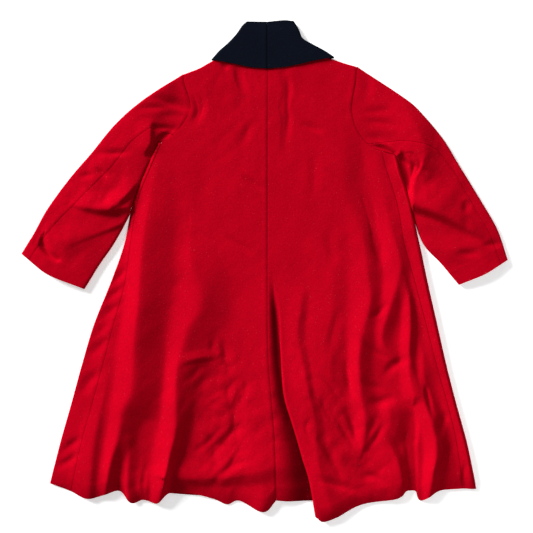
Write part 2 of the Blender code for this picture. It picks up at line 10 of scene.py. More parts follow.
import bpy
import numpy as np
from bpy.props import FloatProperty, FloatVectorProperty, PointerProperty
from bpy.types import Operator, Panel, PropertyGroup
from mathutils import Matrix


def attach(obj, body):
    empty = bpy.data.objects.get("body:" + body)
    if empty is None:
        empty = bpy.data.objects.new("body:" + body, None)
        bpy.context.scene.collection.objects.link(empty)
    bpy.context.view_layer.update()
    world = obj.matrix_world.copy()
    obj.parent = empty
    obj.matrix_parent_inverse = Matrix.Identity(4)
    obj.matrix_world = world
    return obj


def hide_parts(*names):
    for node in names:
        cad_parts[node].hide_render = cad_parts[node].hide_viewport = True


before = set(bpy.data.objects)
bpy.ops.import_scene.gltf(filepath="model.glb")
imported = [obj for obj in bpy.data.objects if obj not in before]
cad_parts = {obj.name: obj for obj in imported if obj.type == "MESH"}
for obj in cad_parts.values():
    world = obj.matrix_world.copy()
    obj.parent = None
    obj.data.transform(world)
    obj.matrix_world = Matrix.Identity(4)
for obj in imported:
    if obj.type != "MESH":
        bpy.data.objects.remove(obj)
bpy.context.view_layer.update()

bl_info = {
    "name": "Cavalry Cloak",
    "version": (1, 0, 0),
    "blender": (4, 5, 0),
    "location": "View3D > Sidebar > Cloak",
    "description": "A scarlet cavalry cloak laid flat, back upwards, on a studio floor",
    "category": "Add Mesh",
}

MM = 0.001

# How the layers lie on each other.
CLOTH = 2.0
COLLAR_CLOTH = 2.2
SEAM_GAP = 0.3
SEAM_LINE = 0.9  # groove that a sewn seam shows
ROLL_GAP = 3 * SEAM_GAP  # between rolled edges that meet at a seam
LOWER = CLOTH / 2  # middle of the layer on the table
UPPER = 11.0  # middle of the upper layer where it lies flat
TURN = (UPPER - LOWER) / 2  # how far a rolled edge lies outside the flat layers
HIGHEST_EDGE = 19.0  # top of a side's rolled edge
LEAST_TURN = 2 * CLOTH  # least height between the layers at a rolled edge
LAP_RISE = 3.2  # of the right front over the left one's turned hem
COLLAR_RISE = COLLAR_CLOTH + SEAM_GAP  # of the fronts over the collar's front ends
FALL_LOWER = COLLAR_CLOTH / 2  # middle of the collar's fall under the fronts
FALL_UPPER = 14.8  # middle of the collar's fall over the backs
SIDE_PRESS = 0.6  # how far a sleeve's rolled edge presses into the side's
SIDE_GAP = CLOTH - SIDE_PRESS
LOWER_SHIFT = 1.5  # how far inside the upper armhole the lower one lies, past its corner
LOWER_CORNER = 10  # steps of the armhole from its corner to there
EDGE_FALL = {"left": 4.0, "right": 0.0}  # how far a side strip comes down to its rolled edge
FALL_FADES = (130.0, 220.0)  # where that fall fades out, beside the sleeve
LAYER_CLEAR = 1.6  # least height of a layer's middle over the cloth below it
LAYER_SOFT = 1.0  # how softly a trough settles on the cloth below it
PAST_HEM = 12.0  # beyond the fronts' hem the backs come down to the floor
CUT_ANGLE = math.radians(50)  # sharper edges than this are cut edges of cloth

# Hems and seams.
HEM_DROOP = 60.0  # height above the fronts' hem over which folds get lower
HEM_KEEP = 0.8  # share of a fold's height that is left at the hem
HEM_FALL = 9.0  # how far the cloth comes down at a hem
HEM_REACH = 52.0  # height above a hem over which it comes down
HEM_LINE_DIP = 0.35  # the line pressed in above a turned hem
HEM_LINE_WIDTH = 3.5
SEAM_DIP = {"left": 1.0, "right": 0.15}  # of the cloth on each side, as allowances are pressed to the right
FINE_SEAM = 0.55  # dip of the side and hindarm seams, as a share of the others'
SEAM_WIDTH = 2.0
SEAM_PUFF = 0.3  # the allowance lifts the cloth beside a seam, as a share of its dip
SEAM_PUFF_AT = 8.0
SEAM_PUFF_WIDTH = 6.0

# The sleeves' upper layer, in shares of their length and width.
SLEEVE_CROWN = 5.0  # rise of the middle, in millimetres
SLEEVE_RISE = 0.15  # length over which the crown rises from the armhole
SLEEVE_MARGIN = 0.03  # width at each edge where folds fade out
MOUTH_BLEND = 0.06  # length over which the body's folds give way to the sleeve's

# A fold's section, in its widths or reaches.
FLANK = 1.7  # from a crease's crest to its foot
CREST_ROUND = 0.15
FOOT_SHARP = 9.0
FOOT_REACH = 1.6  # how far out a fold is worked out

# Steps along and across the shells.
SIDE_STEPS = 168
ARMHOLE_STEPS = 72
BACK_STEPS = 144
NECK_STEPS = 24
FLOOR_STEPS = 16
TUCK_STEPS = 4
FLAP_STEPS = 120
FRONT_STEPS = 14
FRONT_NECK_STEPS = FRONT_STEPS // 3
STRIP_STEPS = 16
TURN_STEPS = 10
SHOULDER_STEPS = TURN_STEPS // 2
STATION_STEPS = 24
SLEEVE_SKIP = 2  # a sleeve takes every second armhole place
UNDER_STEPS = 30
COLLAR_STEPS = 60
COLLAR_ROWS = 40
STAND_ROWS = 8
CREST_STEPS = 6
SPAN_STEPS = 16
FINE_STEPS = 40

SIDES = {"left": -1, "right": 1}

# The body from hem to underarm: its rolled edges, the side seams on the back, and the centre back.
Section = namedtuple("Section", "y left_edge left_seam centre right_seam right_edge")
SECTIONS = [
    Section(-480, -571, -511, 28, 536, 565),
    Section(-370, -540, -481, 20, 510, 535),
    Section(-260, -510, -451, 11, 479, 507),
    Section(-150, -477, -422, 8, 451, 482),
    Section(-35, -431, -390, 8, 421, 456),
    Section(75, -392, -374, 8, 391, 433),
    Section(190, -368, -355, 8, 370, 406),
    Section(285, -330, -319, 8, 340, 378),
]
EDGE_AT_HEM = {"left": (-600, -595), "right": (592, -609)}
SEAM_AT_HEM = {"left": (-541, -617), "right": (554, -609)}
CENTRE_AT_HEM = (33, -640)
CENTRE_AT_NECK = (8, 598)
UNDERARM = {"left": (-297, 357), "right": (367, 323)}
SEAM_TOP = {"left": (-286, 362), "right": (328, 334)}
ARMHOLE = {
    "left": [(-271, 368), (-244, 391), (-221, 421), (-207, 455), (-213, 489), (-223, 519)],
    "right": [(300, 346), (272, 374), (252, 413), (244, 452), (248, 491), (255, 531)],
}
SHOULDER = {"left": (-227, 550), "right": (258, 571)}
SHOULDER_LINE = {"left": [(-182, 567), (-146, 587)], "right": [(224, 581), (193, 592)]}
NECK_POINT = {"left": (-81, 617), "right": (101, 626)}
FRONT_NECK_Y = 585.0
CHEST_Y = 330.0
COLLAR_Y = 500.0
FRONT_HEM = [(-600, -595), (-406, -612), (0, -637), (378, -617), (592, -609)]
LAP_HALF = 45.0
LAP_CLEAR = 2.0
LAP_RAMP = 20.0

# Lower edge of each back, from the side seam to the centre back.
BACK_HEM_LEFT = [
    (-541, -617), (-490, -636), (-409, -615), (-372, -648), (-339, -640), (-300, -648), (-270, -623),
    (-210, -622), (-143, -638), (-104, -654), (-70, -643), (-3, -673), CENTRE_AT_HEM,
]
FLOOR_HEM = [CENTRE_AT_HEM, (70, -643), (132, -643)]
FLAP_HEM = [
    (144, -690), (160, -700), (199, -687), (266, -654), (364, -637), (398, -616), (423, -617),
    (437, -643), (484, -616), SEAM_AT_HEM["right"],
]

# The pleat of the right back: where its folded edge lies, and how deep it tucks in.
Pleat = namedtuple("Pleat", "y edge depth")
PLEAT = [
    Pleat(-585, 125, 60), Pleat(-530, 108, 52), Pleat(-470, 91, 44), Pleat(-415, 74, 36),
    Pleat(-360, 57, 28), Pleat(-290, 46, 20), Pleat(-220, 38, 12), Pleat(-135, 32, 4),
    Pleat(-50, 25, 0), Pleat(100, 20, 0), Pleat(597, 20, 0),
]
PLEAT_LAYER = 8.0  # height between its layers
PLEAT_DIP = 6.0  # how far its floor sinks under the flap
PLEAT_FORMED = 24.0  # depth at which it is fully folded
PLEAT_SPREAD = 150.0  # width over which the flap comes down beyond the tuck
PLEAT_OPENS = (30.0, 120.0)  # how far below the middle of the cloak its floor starts to sink, and has sunk
FLAT_SPACING = 1.6  # between the tuck's columns where the pleat is still flat
PAINTED_SHADE_SPAN = (0.05, 0.75)  # shares of the floor's width from the seam, where painted shade on the pleat's floor starts and where it is darkest

# The tuck across the pleat, from the tucked layer round to the flap.
Tuck = namedtuple("Tuck", "along turn rise share")  # depths, half layers, layers, and share of the flap's hem
TUCK = [
    Tuck(0.6, 0, 0, 0.0), Tuck(1, 0, 0, 0.1), Tuck(1, 0.9, 0.5, 0.3), Tuck(1, 0, 1, 0.4),
    Tuck(0.5, 0, 1, 0.6), Tuck(0, 1, 1, 0.85), Tuck(0, 0, 1.5, 0.95),
]

# Main ridges of the body's upper layer: across, along, height, and reach to the left and right of the crest.
HEIGHT, LEFT_REACH, RIGHT_REACH = 2, 3, 4
BODY_RIDGES = [
    [
        (-290, 333, 0, 20, 30), (-315, 213, 6, 35, 60), (-332, 101, 14, 40, 85), (-340, 25, 19, 38, 92),
        (-346, -81, 21, 40, 85), (-357, -193, 22, 45, 80), (-365, -328, 21, 55, 75),
        (-393, -389, 19, 45, 60), (-405, -459, 19, 40, 40), (-427, -535, 19, 28, 26),
        (-444, -633, 17, 24, 24),
    ],
    [
        (-206, 101, 2, 40, 60), (-203, 25, 8, 40, 75), (-181, -39, 11, 65, 70), (-178, -104, 13, 80, 70),
        (-211, -160, 15, 56, 80), (-228, -221, 16, 42, 75), (-242, -283, 18, 32, 65),
        (-245, -361, 20, 36, 50), (-245, -431, 22, 44, 32), (-262, -515, 24, 44, 16),
        (-276, -580, 25, 42, 14), (-287, -641, 23, 36, 14),
    ],
    [(-374, -473, 4, 20, 18), (-379, -557, 11, 22, 28), (-382, -641, 13, 22, 30)],
    [
        (-433, -263, 0, 20, 16), (-447, -347, 4, 26, 20), (-463, -417, 8, 34, 26), (-477, -501, 11, 45, 30),
        (-483, -571, 13, 50, 32), (-489, -633, 12, 46, 32),
    ],
    [(-8, -540, 0, 40, 30), (-6, -600, 3, 40, 30), (-6, -662, 6, 40, 30)],
    [
        (-258, -573, 8, 20, 46), (-160, -576, 11, 22, 60), (-80, -566, 11, 32, 80), (-10, -552, 11, 36, 100),
        (34, -540, 5, 36, 100), (60, -530, 0, 36, 100),
    ],
    [
        (10, 30, 0, 50, 12), (11, -137, 5, 70, 13), (16, -277, 7, 90, 14), (23, -417, 8, 110, 26),
        (29, -500, 9, 120, 32), (32, -557, 10, 120, 40), (34, -641, 10, 100, 44),
    ],
    [(64, -473, 0, 10, 8), (66, -543, 4, 10, 8), (68, -613, 5, 10, 8)],
    [
        (108, -39, 0, 30, 16), (99, -109, 5, 32, 18), (91, -179, 5, 30, 20), (108, -263, 6, 34, 16),
        (122, -342, 7, 36, 14), (139, -412, 7, 40, 20), (144, -501, 7, 38, 24), (161, -585, 8, 34, 30),
        (189, -664, 7, 30, 30),
    ],
    [
        (186, 45, 0, 50, 30), (189, -81, 4, 60, 40), (186, -193, 7, 65, 44), (183, -305, 6, 60, 40),
        (197, -389, 4, 50, 34), (225, -473, 0, 40, 30),
    ],
    [
        (267, 199, 0, 40, 30), (279, 73, 6, 40, 40), (287, -11, 10, 46, 36), (293, -81, 12, 50, 30),
        (273, -165, 13, 40, 40), (262, -235, 15, 26, 34), (265, -319, 15, 26, 36), (276, -389, 14, 28, 36),
        (281, -451, 12, 26, 34), (267, -518, 6, 24, 20),
    ],
    [
        (332, 199, 0, 30, 20), (357, 101, 6, 36, 24), (377, 25, 10, 46, 26), (368, -39, 11, 36, 28),
        (346, -109, 10, 26, 30), (329, -165, 9, 20, 28), (332, -207, 7, 18, 26), (360, -241, 4, 14, 20),
    ],
    [
        (391, -25, 2, 16, 14), (402, -81, 10, 20, 14), (405, -151, 14, 22, 14), (402, -221, 13, 22, 16),
        (402, -283, 11, 22, 20), (413, -347, 9, 26, 20),
    ],
    [(430, -179, 0, 14, 20), (441, -244, 7, 18, 30), (447, -305, 7, 18, 34), (469, -361, 3, 20, 26)],
    [
        (410, -263, 4, 20, 26), (435, -347, 14, 34, 30), (466, -431, 22, 28, 34), (475, -501, 23, 26, 30),
        (466, -571, 22, 22, 30), (458, -641, 18, 18, 30),
    ],
    [
        (336, -355, 0, 40, 20), (345, -385, 9, 46, 44), (350, -420, 10, 46, 44), (356, -455, 6, 46, 40),
        (364, -490, 0, 40, 30),
    ],
    [(309, -431, 3, 50, 20), (351, -493, 11, 70, 20), (377, -557, 15, 80, 16), (385, -627, 15, 80, 14)],
    [
        (398, 190, 0, 24, 20), (425, 75, 5, 30, 20), (448, -35, 8, 34, 20), (474, -150, 8, 34, 20),
        (499, -260, 8, 34, 20), (527, -370, 8, 30, 20), (557, -480, 8, 30, 20), (584, -609, 6, 30, 20),
    ],
    [
        (370, 330, 1, 24, 12), (378, 296, 6, 30, 12), (391, 250, 6, 32, 12), (402, 205, 5, 32, 12),
        (411, 170, 5, 32, 12), (420, 130, 3, 30, 12), (428, 95, 0, 26, 12),
    ],
    [
        (267, 381, -2, 40, 30), (276, 297, -6, 48, 36), (284, 213, -7, 45, 40), (304, 101, -6, 30, 40),
        (323, 25, -3, 20, 30),
    ],
]

# A smaller fold's crest through three points, their heights, and its width on each side.
Fold = namedtuple("Fold", "x0 y0 x1 y1 x2 y2 h0 h1 h2 left right")

# Creases of the body's upper layer. On a crest that runs to the right, left is the lower side.
BODY_CREASES = [
    Fold(-340, -515, -346, -585, -340, -641, 0, 4, 4, 7, 7),
    Fold(-323, -543, -329, -599, -329, -641, 0, 4, 3, 6, 6),
    Fold(-379, 11, -402, -11, -424, -34, -1, -4, -3, 9, 9),
    Fold(-393, -42, -413, -59, -435, -78, -1, -4, -3, 9, 9),
    Fold(-402, -90, -427, -109, -452, -132, -1, -5, -3, 11, 10),
    Fold(-424, -132, -449, -157, -469, -179, -1, -3, -2, 10, 10),
    Fold(-435, -188, -458, -207, -480, -227, -1, -4, -3, 10, 10),
    Fold(-461, -283, -486, -303, -503, -328, -1, -4, -3, 10, 10),
    Fold(-505, -465, -536, -482, -564, -504, 0, -4, -1, 7, 8),
    Fold(-517, -507, -545, -529, -573, -543, 0, -4, -2, 7, 8),
    Fold(-237, -258, -189, -244, -136, -238, 0, 5, 2, 5, 12),
    Fold(-116, -188, -111, -227, -108, -255, 0, -5, -2, 7, 14),
    Fold(-144, -185, -146, -207, -147, -229, 0, -2, 0, 6, 7),
    Fold(-136, -260, -102, -269, -88, -283, 0, -2, 0, 7, 8),
    Fold(-177, -367, -133, -339, -95, -322, 0, -3, 0, 6, 12),
    Fold(-80, -298, -99, -333, -109, -368, 0, -3, 0, 6, 9),
    Fold(-46, -298, -55, -339, -70, -377, 0, -2, 0, 6, 8),
    Fold(-60, -350, -80, -383, -83, -440, 0, -4, -4, 9, 16),
    Fold(-83, -440, -125, -493, -178, -557, -4, -4, -1, 7, 14),
    Fold(-55, -466, -91, -535, -139, -580, -1, -4, -1, 6, 9),
    Fold(-209, -515, -153, -473, -119, -431, 0, -4, 0, 6, 8),
    Fold(-91, -557, -69, -535, -24, -524, 0, -3, 0, 6, 8),
    Fold(-224, -315, -192, -283, -171, -256, 0, -3, 0, 8, 9),
    Fold(-219, -357, -167, -305, -109, -283, 0, -3, 0, 8, 11),
    Fold(446, -314, 452, -350, 464, -398, 0, -9, -2, 4, 5),
    Fold(414, -380, 419, -420, 416, -470, -3, -9, -9, 24, 7),
    Fold(412, -470, 414, -543, 413, -619, -10, -15, -15, 12, 7),
    Fold(531, -473, 491, -535, 466, -591, 0, -8, -1, 8, 10),
    Fold(514, -389, 491, -431, 486, -468, 0, -7, 0, 12, 8),
    Fold(559, -529, 556, -571, 564, -605, 0, -5, -3, 5, 6),
    Fold(155, -468, 186, -520, 220, -585, -3, -7, 0, 7, 10),
    Fold(183, -384, 220, -445, 262, -507, -2, -6, -2, 6, 9),
    Fold(220, -375, 245, -431, 267, -501, 0, -5, -2, 6, 7),
    Fold(340, -412, 307, -468, 270, -521, 0, -5, -3, 7, 7),
    Fold(318, -403, 295, -440, 279, -487, 0, -6, -2, 9, 8),
    Fold(127, -403, 116, -440, 133, -473, 0, -3, 0, 5, 6),
    Fold(155, -580, 211, -599, 267, -619, -2, -6, -1, 6, 10),
    Fold(253, -580, 301, -574, 351, -596, 0, -4, 0, 8, 8),
    Fold(225, -535, 267, -557, 301, -580, 0, -3, 0, 6, 8),
    Fold(150, -283, 183, -319, 211, -356, 0, -4, 0, 6, 8),
    Fold(150, -347, 172, -389, 197, -431, 0, -4, 0, 5, 8),
    Fold(225, -249, 239, -319, 256, -361, 0, -5, 0, 8, 5),
    Fold(208, -105, 190, -171, 180, -245, 0, -3, 0, 8, 11),
    Fold(259, -179, 301, -221, 346, -244, 0, -5, 0, 6, 6),
    Fold(290, -132, 318, -115, 351, -81, 0, -4, 0, 6, 6),
    Fold(335, -291, 357, -266, 391, -244, -1, -6, -2, 9, 8),
    Fold(273, -291, 295, -319, 337, -328, 0, -5, 0, 7, 7),
    Fold(281, -361, 323, -367, 365, -356, 0, -5, 0, 8, 8),
    Fold(-121, 585, -110, 573, -102, 562, 0, -4, 0, 6, 6),
    Fold(-77, 566, -69, 535, -55, 493, -2, -5, 0, 7, 9),
    Fold(-43, 549, -32, 521, -21, 493, -1, -5, 0, 6, 7),
    Fold(52, 549, 63, 507, 52, 456, -2, -5, -4, 7, 9),
    Fold(52, 456, 60, 425, 55, 344, -4, -5, -1, 7, 10),
    Fold(-22, 428, -48, 388, -72, 345, 0, -2, 0, 9, 10),
    Fold(-69, 269, -34, 245, 1, 221, 0, -3, 0, 6, 7),
    Fold(-111, 101, -69, 72, -27, 42, 0, -3, 0, 6, 7),
    Fold(99, 414, 134, 400, 169, 386, 0, -3, 0, 7, 8),
    Fold(136, 340, 139, 270, 136, 195, 0, -2, 0, 11, 12),
    Fold(273, 213, 290, 176, 307, 95, 0, -7, -3, 5, 10),
    Fold(307, 95, 318, 60, 332, 15, -3, -6, 0, 10, 12),
    Fold(174, 125, 185, 66, 193, 8, 0, -2, 0, 10, 11),
    Fold(-200, 493, -186, 451, -200, 409, 0, -4, 0, 6, 8),
    Fold(-181, 501, -172, 456, -189, 409, 0, -3, 0, 6, 8),
]

# Ridges and creases of the sleeves.
SLEEVE_FOLDS = {
    "left": [
        [
            (-312, 424, 0, 30, 12), (-317, 392, 5, 40, 9), (-318, 345, 6, 42, 8), (-327, 316, 1, 45, 8),
            (-338, 288, 1, 45, 8), (-352, 255, 2, 45, 8), (-366, 232, 8, 42, 10), (-386, 209, 10, 36, 10),
            (-410, 185, 5, 30, 10),
        ],
        [(-245, 533, 3, 20, 60), (-298, 504, 8, 20, 68), (-346, 470, 7, 20, 64), (-388, 428, 1, 20, 50)],
        [(-545, 186, 0, 8, 40), (-489, 177, 9, 12, 45), (-433, 171, 14, 15, 45), (-377, 179, 10, 16, 40)],
        [(-573, 59, 0, 6, 40), (-489, 95, 2, 6, 42), (-419, 123, 4, 7, 40), (-377, 143, 8, 11, 36)],
        Fold(-590, 90, -560, 84, -520, 96, 3, 6, 3, 24, 24),
        [(-618, 96, -3, 8, 14), (-621, 72, -10, 8, 18), (-606, 48, -11, 7, 14), (-580, 31, -7, 6, 12)],
        Fold(-483, 330, -419, 328, -368, 333, 0, -4, 0, 6, 8),
        Fold(-522, 263, -498, 266, -475, 269, 0, -3, 0, 7, 7),
        Fold(-469, 288, -452, 274, -438, 260, 0, -3, 0, 7, 7),
        Fold(-430, 238, -441, 207, -447, 178, 0, -3, 0, 10, 10),
    ],
    "right": [
        [
            (393, 445, 4, 45, 40), (421, 395, 9, 48, 40), (445, 339, 10, 44, 40), (438, 297, 7, 5, 40),
            (420, 255, 4, 5, 36), (406, 212, 2, 5, 26),
        ],
        [
            (410, 186, 16, 22, 60), (463, 168, 18, 15, 70), (519, 140, 14, 11, 60), (570, 112, 8, 8, 40),
            (612, 90, 0, 8, 20),
        ],
        [(337, 347, 2, 8, 26), (379, 325, 6, 8, 30), (413, 305, 6, 8, 30), (438, 291, 2, 8, 26)],
        [
            (384, 316, -9, 12, 16), (392, 290, -13, 14, 13), (399, 262, -12, 14, 8), (404, 232, -9, 12, 6),
            (408, 208, -3, 10, 5),
        ],
        [(404, 312, -4, 14, 10), (417, 294, -7, 16, 8), (413, 272, -6, 14, 6), (406, 250, -3, 10, 5)],
        [(412, 172, -6, 12, 12), (445, 156, -5, 14, 10), (480, 138, -3, 12, 9)],
        Fold(470, 60, 540, 62, 600, 68, 2, 4, 2, 22, 22),
        Fold(533, 50, 568, 49, 603, 50, 0, -4, 0, 8, 9),
        Fold(603, 70, 634, 74, 668, 76, 0, -4, 0, 7, 8),
        Fold(559, 199, 561, 178, 556, 157, 0, -4, 0, 7, 8),
        Fold(545, 150, 560, 132, 570, 112, 0, -2, 0, 7, 7),
    ],
}

# Creases that run out from the armholes.
ARMHOLE_CREASES = {
    "left": [
        Fold(-316, 487, -260, 468, -212, 453, -1, -6, -3, 7, 11),
        Fold(-363, 451, -307, 455, -251, 459, 0, -3, 0, 7, 8),
        Fold(-292, 437, -257, 434, -222, 431, 0, -2, 0, 7, 7),
        Fold(-248, 395, -290, 366, -320, 325, -2, -8, -8, 7, 7),
        Fold(-307, 400, -277, 399, -248, 397, -4, -5, -1, 5, 6),
    ],
    "right": [
        Fold(262, 442, 314, 446, 365, 448, 0, -3, 0, 8, 8),
        Fold(262, 420, 323, 414, 393, 398, 0, -3, 0, 8, 8),
        Fold(273, 378, 315, 370, 357, 358, 0, -4, 0, 9, 10),
        Fold(305, 351, 333, 343, 362, 329, -2, -8, -6, 4, 5),
        Fold(284, 557, 290, 521, 284, 484, -1, -3, -1, 12, 10),
    ],
}

# Each sleeve below the armhole, to the cuff, and its hindarm seam on the back.
Station = namedtuple("Station", "outer_x outer_y inner_x inner_y seam")
SLEEVE = {
    "left": [
        Station(-335, 479, -304, 339, 0.42), Station(-413, 414, -321, 300, 0.53),
        Station(-483, 330, -346, 244, 0.56), Station(-547, 255, -374, 165, 0.67),
        Station(-606, 174, -421, 78, 0.775), Station(-645, 104, -461, 20, 0.85),
        Station(-679, 48, -505, -50, 0.86),
    ],
    "right": [
        Station(396, 479, 371, 308, 0.325), Station(444, 434, 382, 266, 0.555),
        Station(500, 367, 396, 227, 0.8), Station(547, 290, 413, 165, 0.88),
        Station(603, 199, 444, 78, 0.87), Station(651, 115, 494, 22, 0.86),
        Station(679, 31, 545, -38, 0.85),
    ],
}
CUFF_SAG = {"left": (-600, -12), "right": (612, -10)}  # middle of each cuff's edge
HINDARM_SHARE = 1 / 6  # of the armhole, from the underarm to the hindarm seam

# How fast the shape of an end row fades along its piece, as a power.
MOUTH_HOLD = 16
CUFF_HOLD = 3
HEM_HOLD = 3

# Outline of the collar's fall as it lies: its sides from the lower corner up, then both edges.
FALL_SIDE = {
    "left": [(-148, 590), (-126, 615), (-101, 637), (-78, 662), (-62, 685), (-50, 696)],
    "right": [(195, 597), (168, 615), (134, 633), (106, 650), (96, 674), (82, 697)],
}
FALL_EDGE = {
    "left": [(-148, 590), (-84, 578), (-42, 569), (8, 565)],
    "right": [(195, 597), (140, 587), (98, 577), (56, 569), (8, 565)],
}
FALL_TOP = {"left": [(-50, 696), (8, 695)], "right": [(82, 697), (58, 699), (8, 695)]}
STAND_SIDE = {"left": [(-77, 612.6), (-40, 688)], "right": [(97, 621.6), (72, 688)]}
ROLL_DROP = 1.6  # of the fall at the roll along its upper edge
ROLL_STARTS = 0.75  # share of the fall's height where it starts to drop

# Small uneven crumpling: its waves across and along, its depth, the way that it runs in degrees, and a seed.
Crumple = namedtuple("Crumple", "across along depth turn seed")
CRUMPLES = [
    Crumple(62, 130, 4.2, -44, 3), Crumple(40, 58, 2.8, 34, 7), Crumple(85, 95, 2.4, 8, 13),
    Crumple(24, 38, 0.8, -15, 17),
]
FACETS_MEAN = 0.3  # taken off, so that facets don't lift the cloth
SWELLS = [Crumple(120, 190, 1.3, 0, 11), Crumple(50, 80, 0.6, -20, 5), Crumple(20, 70, 0.16, -55, 23)]

# Where the cloth is crushed most: a place, its reach and the amount there.
Crushed = namedtuple("Crushed", "x y reach amount")
CRUSHED = [
    Crushed(-120, -400, 130, 1.0), Crushed(-130, -540, 90, 0.7), Crushed(210, -440, 110, 0.7),
    Crushed(300, -560, 90, 0.6), Crushed(-370, -560, 60, 0.4), Crushed(140, -300, 90, 0.4),
    Crushed(-60, 470, 120, 0.3), Crushed(-480, 250, 120, 0.5), Crushed(480, 240, 130, 0.5),
    Crushed(-600, 80, 70, 0.5),
]
CRUSHED_LEAST = 0.1  # amount away from those places
NOISE_CELLS = 64
NOISE_GAIN = 1.4


class CloakSettings(PropertyGroup):
    """Sizes and colours of the cloak and its stage."""

    cloth: FloatProperty(
        name="Cloth", description="Thickness of the scarlet cloth", default=CLOTH * MM, unit="LENGTH"
    )
    hem_cloth: FloatProperty(
        name="Hem", description="Thickness of the turned hem", default=0.0028, unit="LENGTH"
    )
    hem_turn: FloatProperty(
        name="Hem turn", description="Height of the turned hem", default=0.048, unit="LENGTH"
    )
    collar_cloth: FloatProperty(
        name="Collar", description="Thickness of the collar", default=COLLAR_CLOTH * MM, unit="LENGTH"
    )
    crease: FloatProperty(
        name="Creases", description="Depth of the small creases, 1 as laid", default=1.0, subtype="FACTOR"
    )
    scarlet: FloatVectorProperty(
        name="Scarlet", description="Colour of the body and sleeves", default=(0.42, 0.0005, 0.0095),
        subtype="COLOR",
    )
    navy: FloatVectorProperty(
        name="Navy", description="Colour of the collar", default=(0.0042, 0.0056, 0.0105), subtype="COLOR"
    )
    floor: FloatVectorProperty(
        name="Floor", description="Colour of the floor", default=(0.92, 0.92, 0.92), subtype="COLOR"
    )
    floor_glow: FloatProperty(
        name="Floor glow", description="Light that the floor gives off, as a light table does", default=0.5
    )
    key_power: FloatProperty(
        name="Key light", description="Light from the left", default=4800.0, unit="POWER"
    )
    top_power: FloatProperty(
        name="Top light", description="Light from above the skirt's right", default=6.0, unit="POWER"
    )
    head_power: FloatProperty(
        name="Head light", description="Light from beyond the collar", default=150.0, unit="POWER"
    )
    fill: FloatProperty(name="Fill", description="Strength of the light all round", default=0.09)


def spline(points, per_span):
    """A smooth curve through the points, with per_span steps from each to the next."""
    p = np.array(points, float)
    ends = np.concatenate([2 * p[:1] - p[1:2], p, 2 * p[-1:] - p[-2:-1]])
    t = np.linspace(0, 1, per_span + 1)[:-1].reshape([-1] + [1] * (p.ndim - 1))
    spans = []
    for a, b, c, d in zip(ends, ends[1:], ends[2:], ends[3:]):
        bend = t**2 * (a - 2.5 * b + 2 * c - d / 2) + t**3 * (3 * b - 3 * c + d - a) / 2
        spans.append(b + t * (c - a) / 2 + bend)
    return np.concatenate([*spans, p[-1:]])


def through(points, count):
    """A smooth curve through the points, as count + 1 places evenly spaced along it."""
    fine = spline(points, SPAN_STEPS)
    along = np.concatenate([[0], np.cumsum(np.linalg.norm(np.diff(fine, axis=0), axis=1))])
    at = np.linspace(0, along[-1], count + 1)
    return np.stack([np.interp(at, along, fine[:, k]) for k in (0, 1)], axis=1)


def bulge(row):
    """How far a row's places lie from even steps between its ends."""
    u = np.linspace(0, 1, len(row))[:, None]
    return row - row[0] * (1 - u) - row[-1] * u


def patch(first, last, low, high, low_hold=1, high_hold=1):
    """Rows from the first edge to the last. The low and high rows' shapes fade along the edges."""
    v = np.linspace(0, 1, len(first))[:, None, None]
    u = np.linspace(0, 1, len(low))[None, :, None]
    straight = first[:, None] * (1 - u) + last[:, None] * u
    return straight + bulge(low) * (1 - v) ** low_hold + bulge(high) * v**high_hold


def smooth(x, start, end):
    """0 before start, 1 after end, and an even rise between them."""
    t = np.clip((np.asarray(x, float) - start) / (end - start), 0, 1)
    return t * t * (3 - 2 * t)


def unit(vectors):
    """The vectors, each made one long."""
    return vectors / np.linalg.norm(vectors, axis=-1, keepdims=True)


def right_hand(curve):
    """Unit vectors square to a curve, on its right hand."""
    run = unit(np.gradient(curve, axis=0))
    return np.stack([run[:, 1], -run[:, 0]], axis=1)


def tent(share):
    """A fold's section: a rounded crest, straight flanks and a soft foot, from 1 down to 0."""
    down = np.sqrt(share**2 + CREST_ROUND**2) - CREST_ROUND
    return np.logaddexp(0, FOOT_SHARP * (1 - down)) / np.logaddexp(0, FOOT_SHARP)


def crest_of(fold):
    """Places along a fold's crest: across, along, height, and its reach to each side."""
    if not isinstance(fold, Fold):
        return fold
    reach = (FLANK * fold.left, FLANK * fold.right)
    return [
        (fold.x0, fold.y0, fold.h0, *reach), (fold.x1, fold.y1, fold.h1, *reach),
        (fold.x2, fold.y2, fold.h2, *reach),
    ]


def relief(folds, xy):
    """How far the folds lift the cloth at each place."""
    places = xy.reshape(-1, 2)
    total = np.zeros(len(places))
    for fold in folds:
        crest = spline(crest_of(fold), CREST_STEPS)
        edge = FOOT_REACH * crest[:, LEFT_REACH:].max()
        inside = (places > crest[:, :2].min(0) - edge) & (places < crest[:, :2].max(0) + edge)
        near = np.nonzero(inside.all(axis=1))[0]
        p = places[near]
        nearest = np.full(len(p), np.inf)
        lift = np.zeros(len(p))
        for a, b in zip(crest, crest[1:]):
            run = b[:2] - a[:2]
            t = np.clip(((p - a[:2]) @ run) / (run @ run), 0, 1)[:, None]
            at = a + t * (b - a)
            off = p - at[:, :2]
            distance = np.linalg.norm(off, axis=1)
            on_right = run[0] * off[:, 1] - run[1] * off[:, 0] > 0
            reach = np.where(on_right, at[:, RIGHT_REACH], at[:, LEFT_REACH])
            nearer = distance < nearest
            lift = np.where(nearer, at[:, HEIGHT] * tent(distance / reach), lift)
            nearest = np.minimum(nearest, distance)
        total[near] += lift
    return total.reshape(xy.shape[:-1])


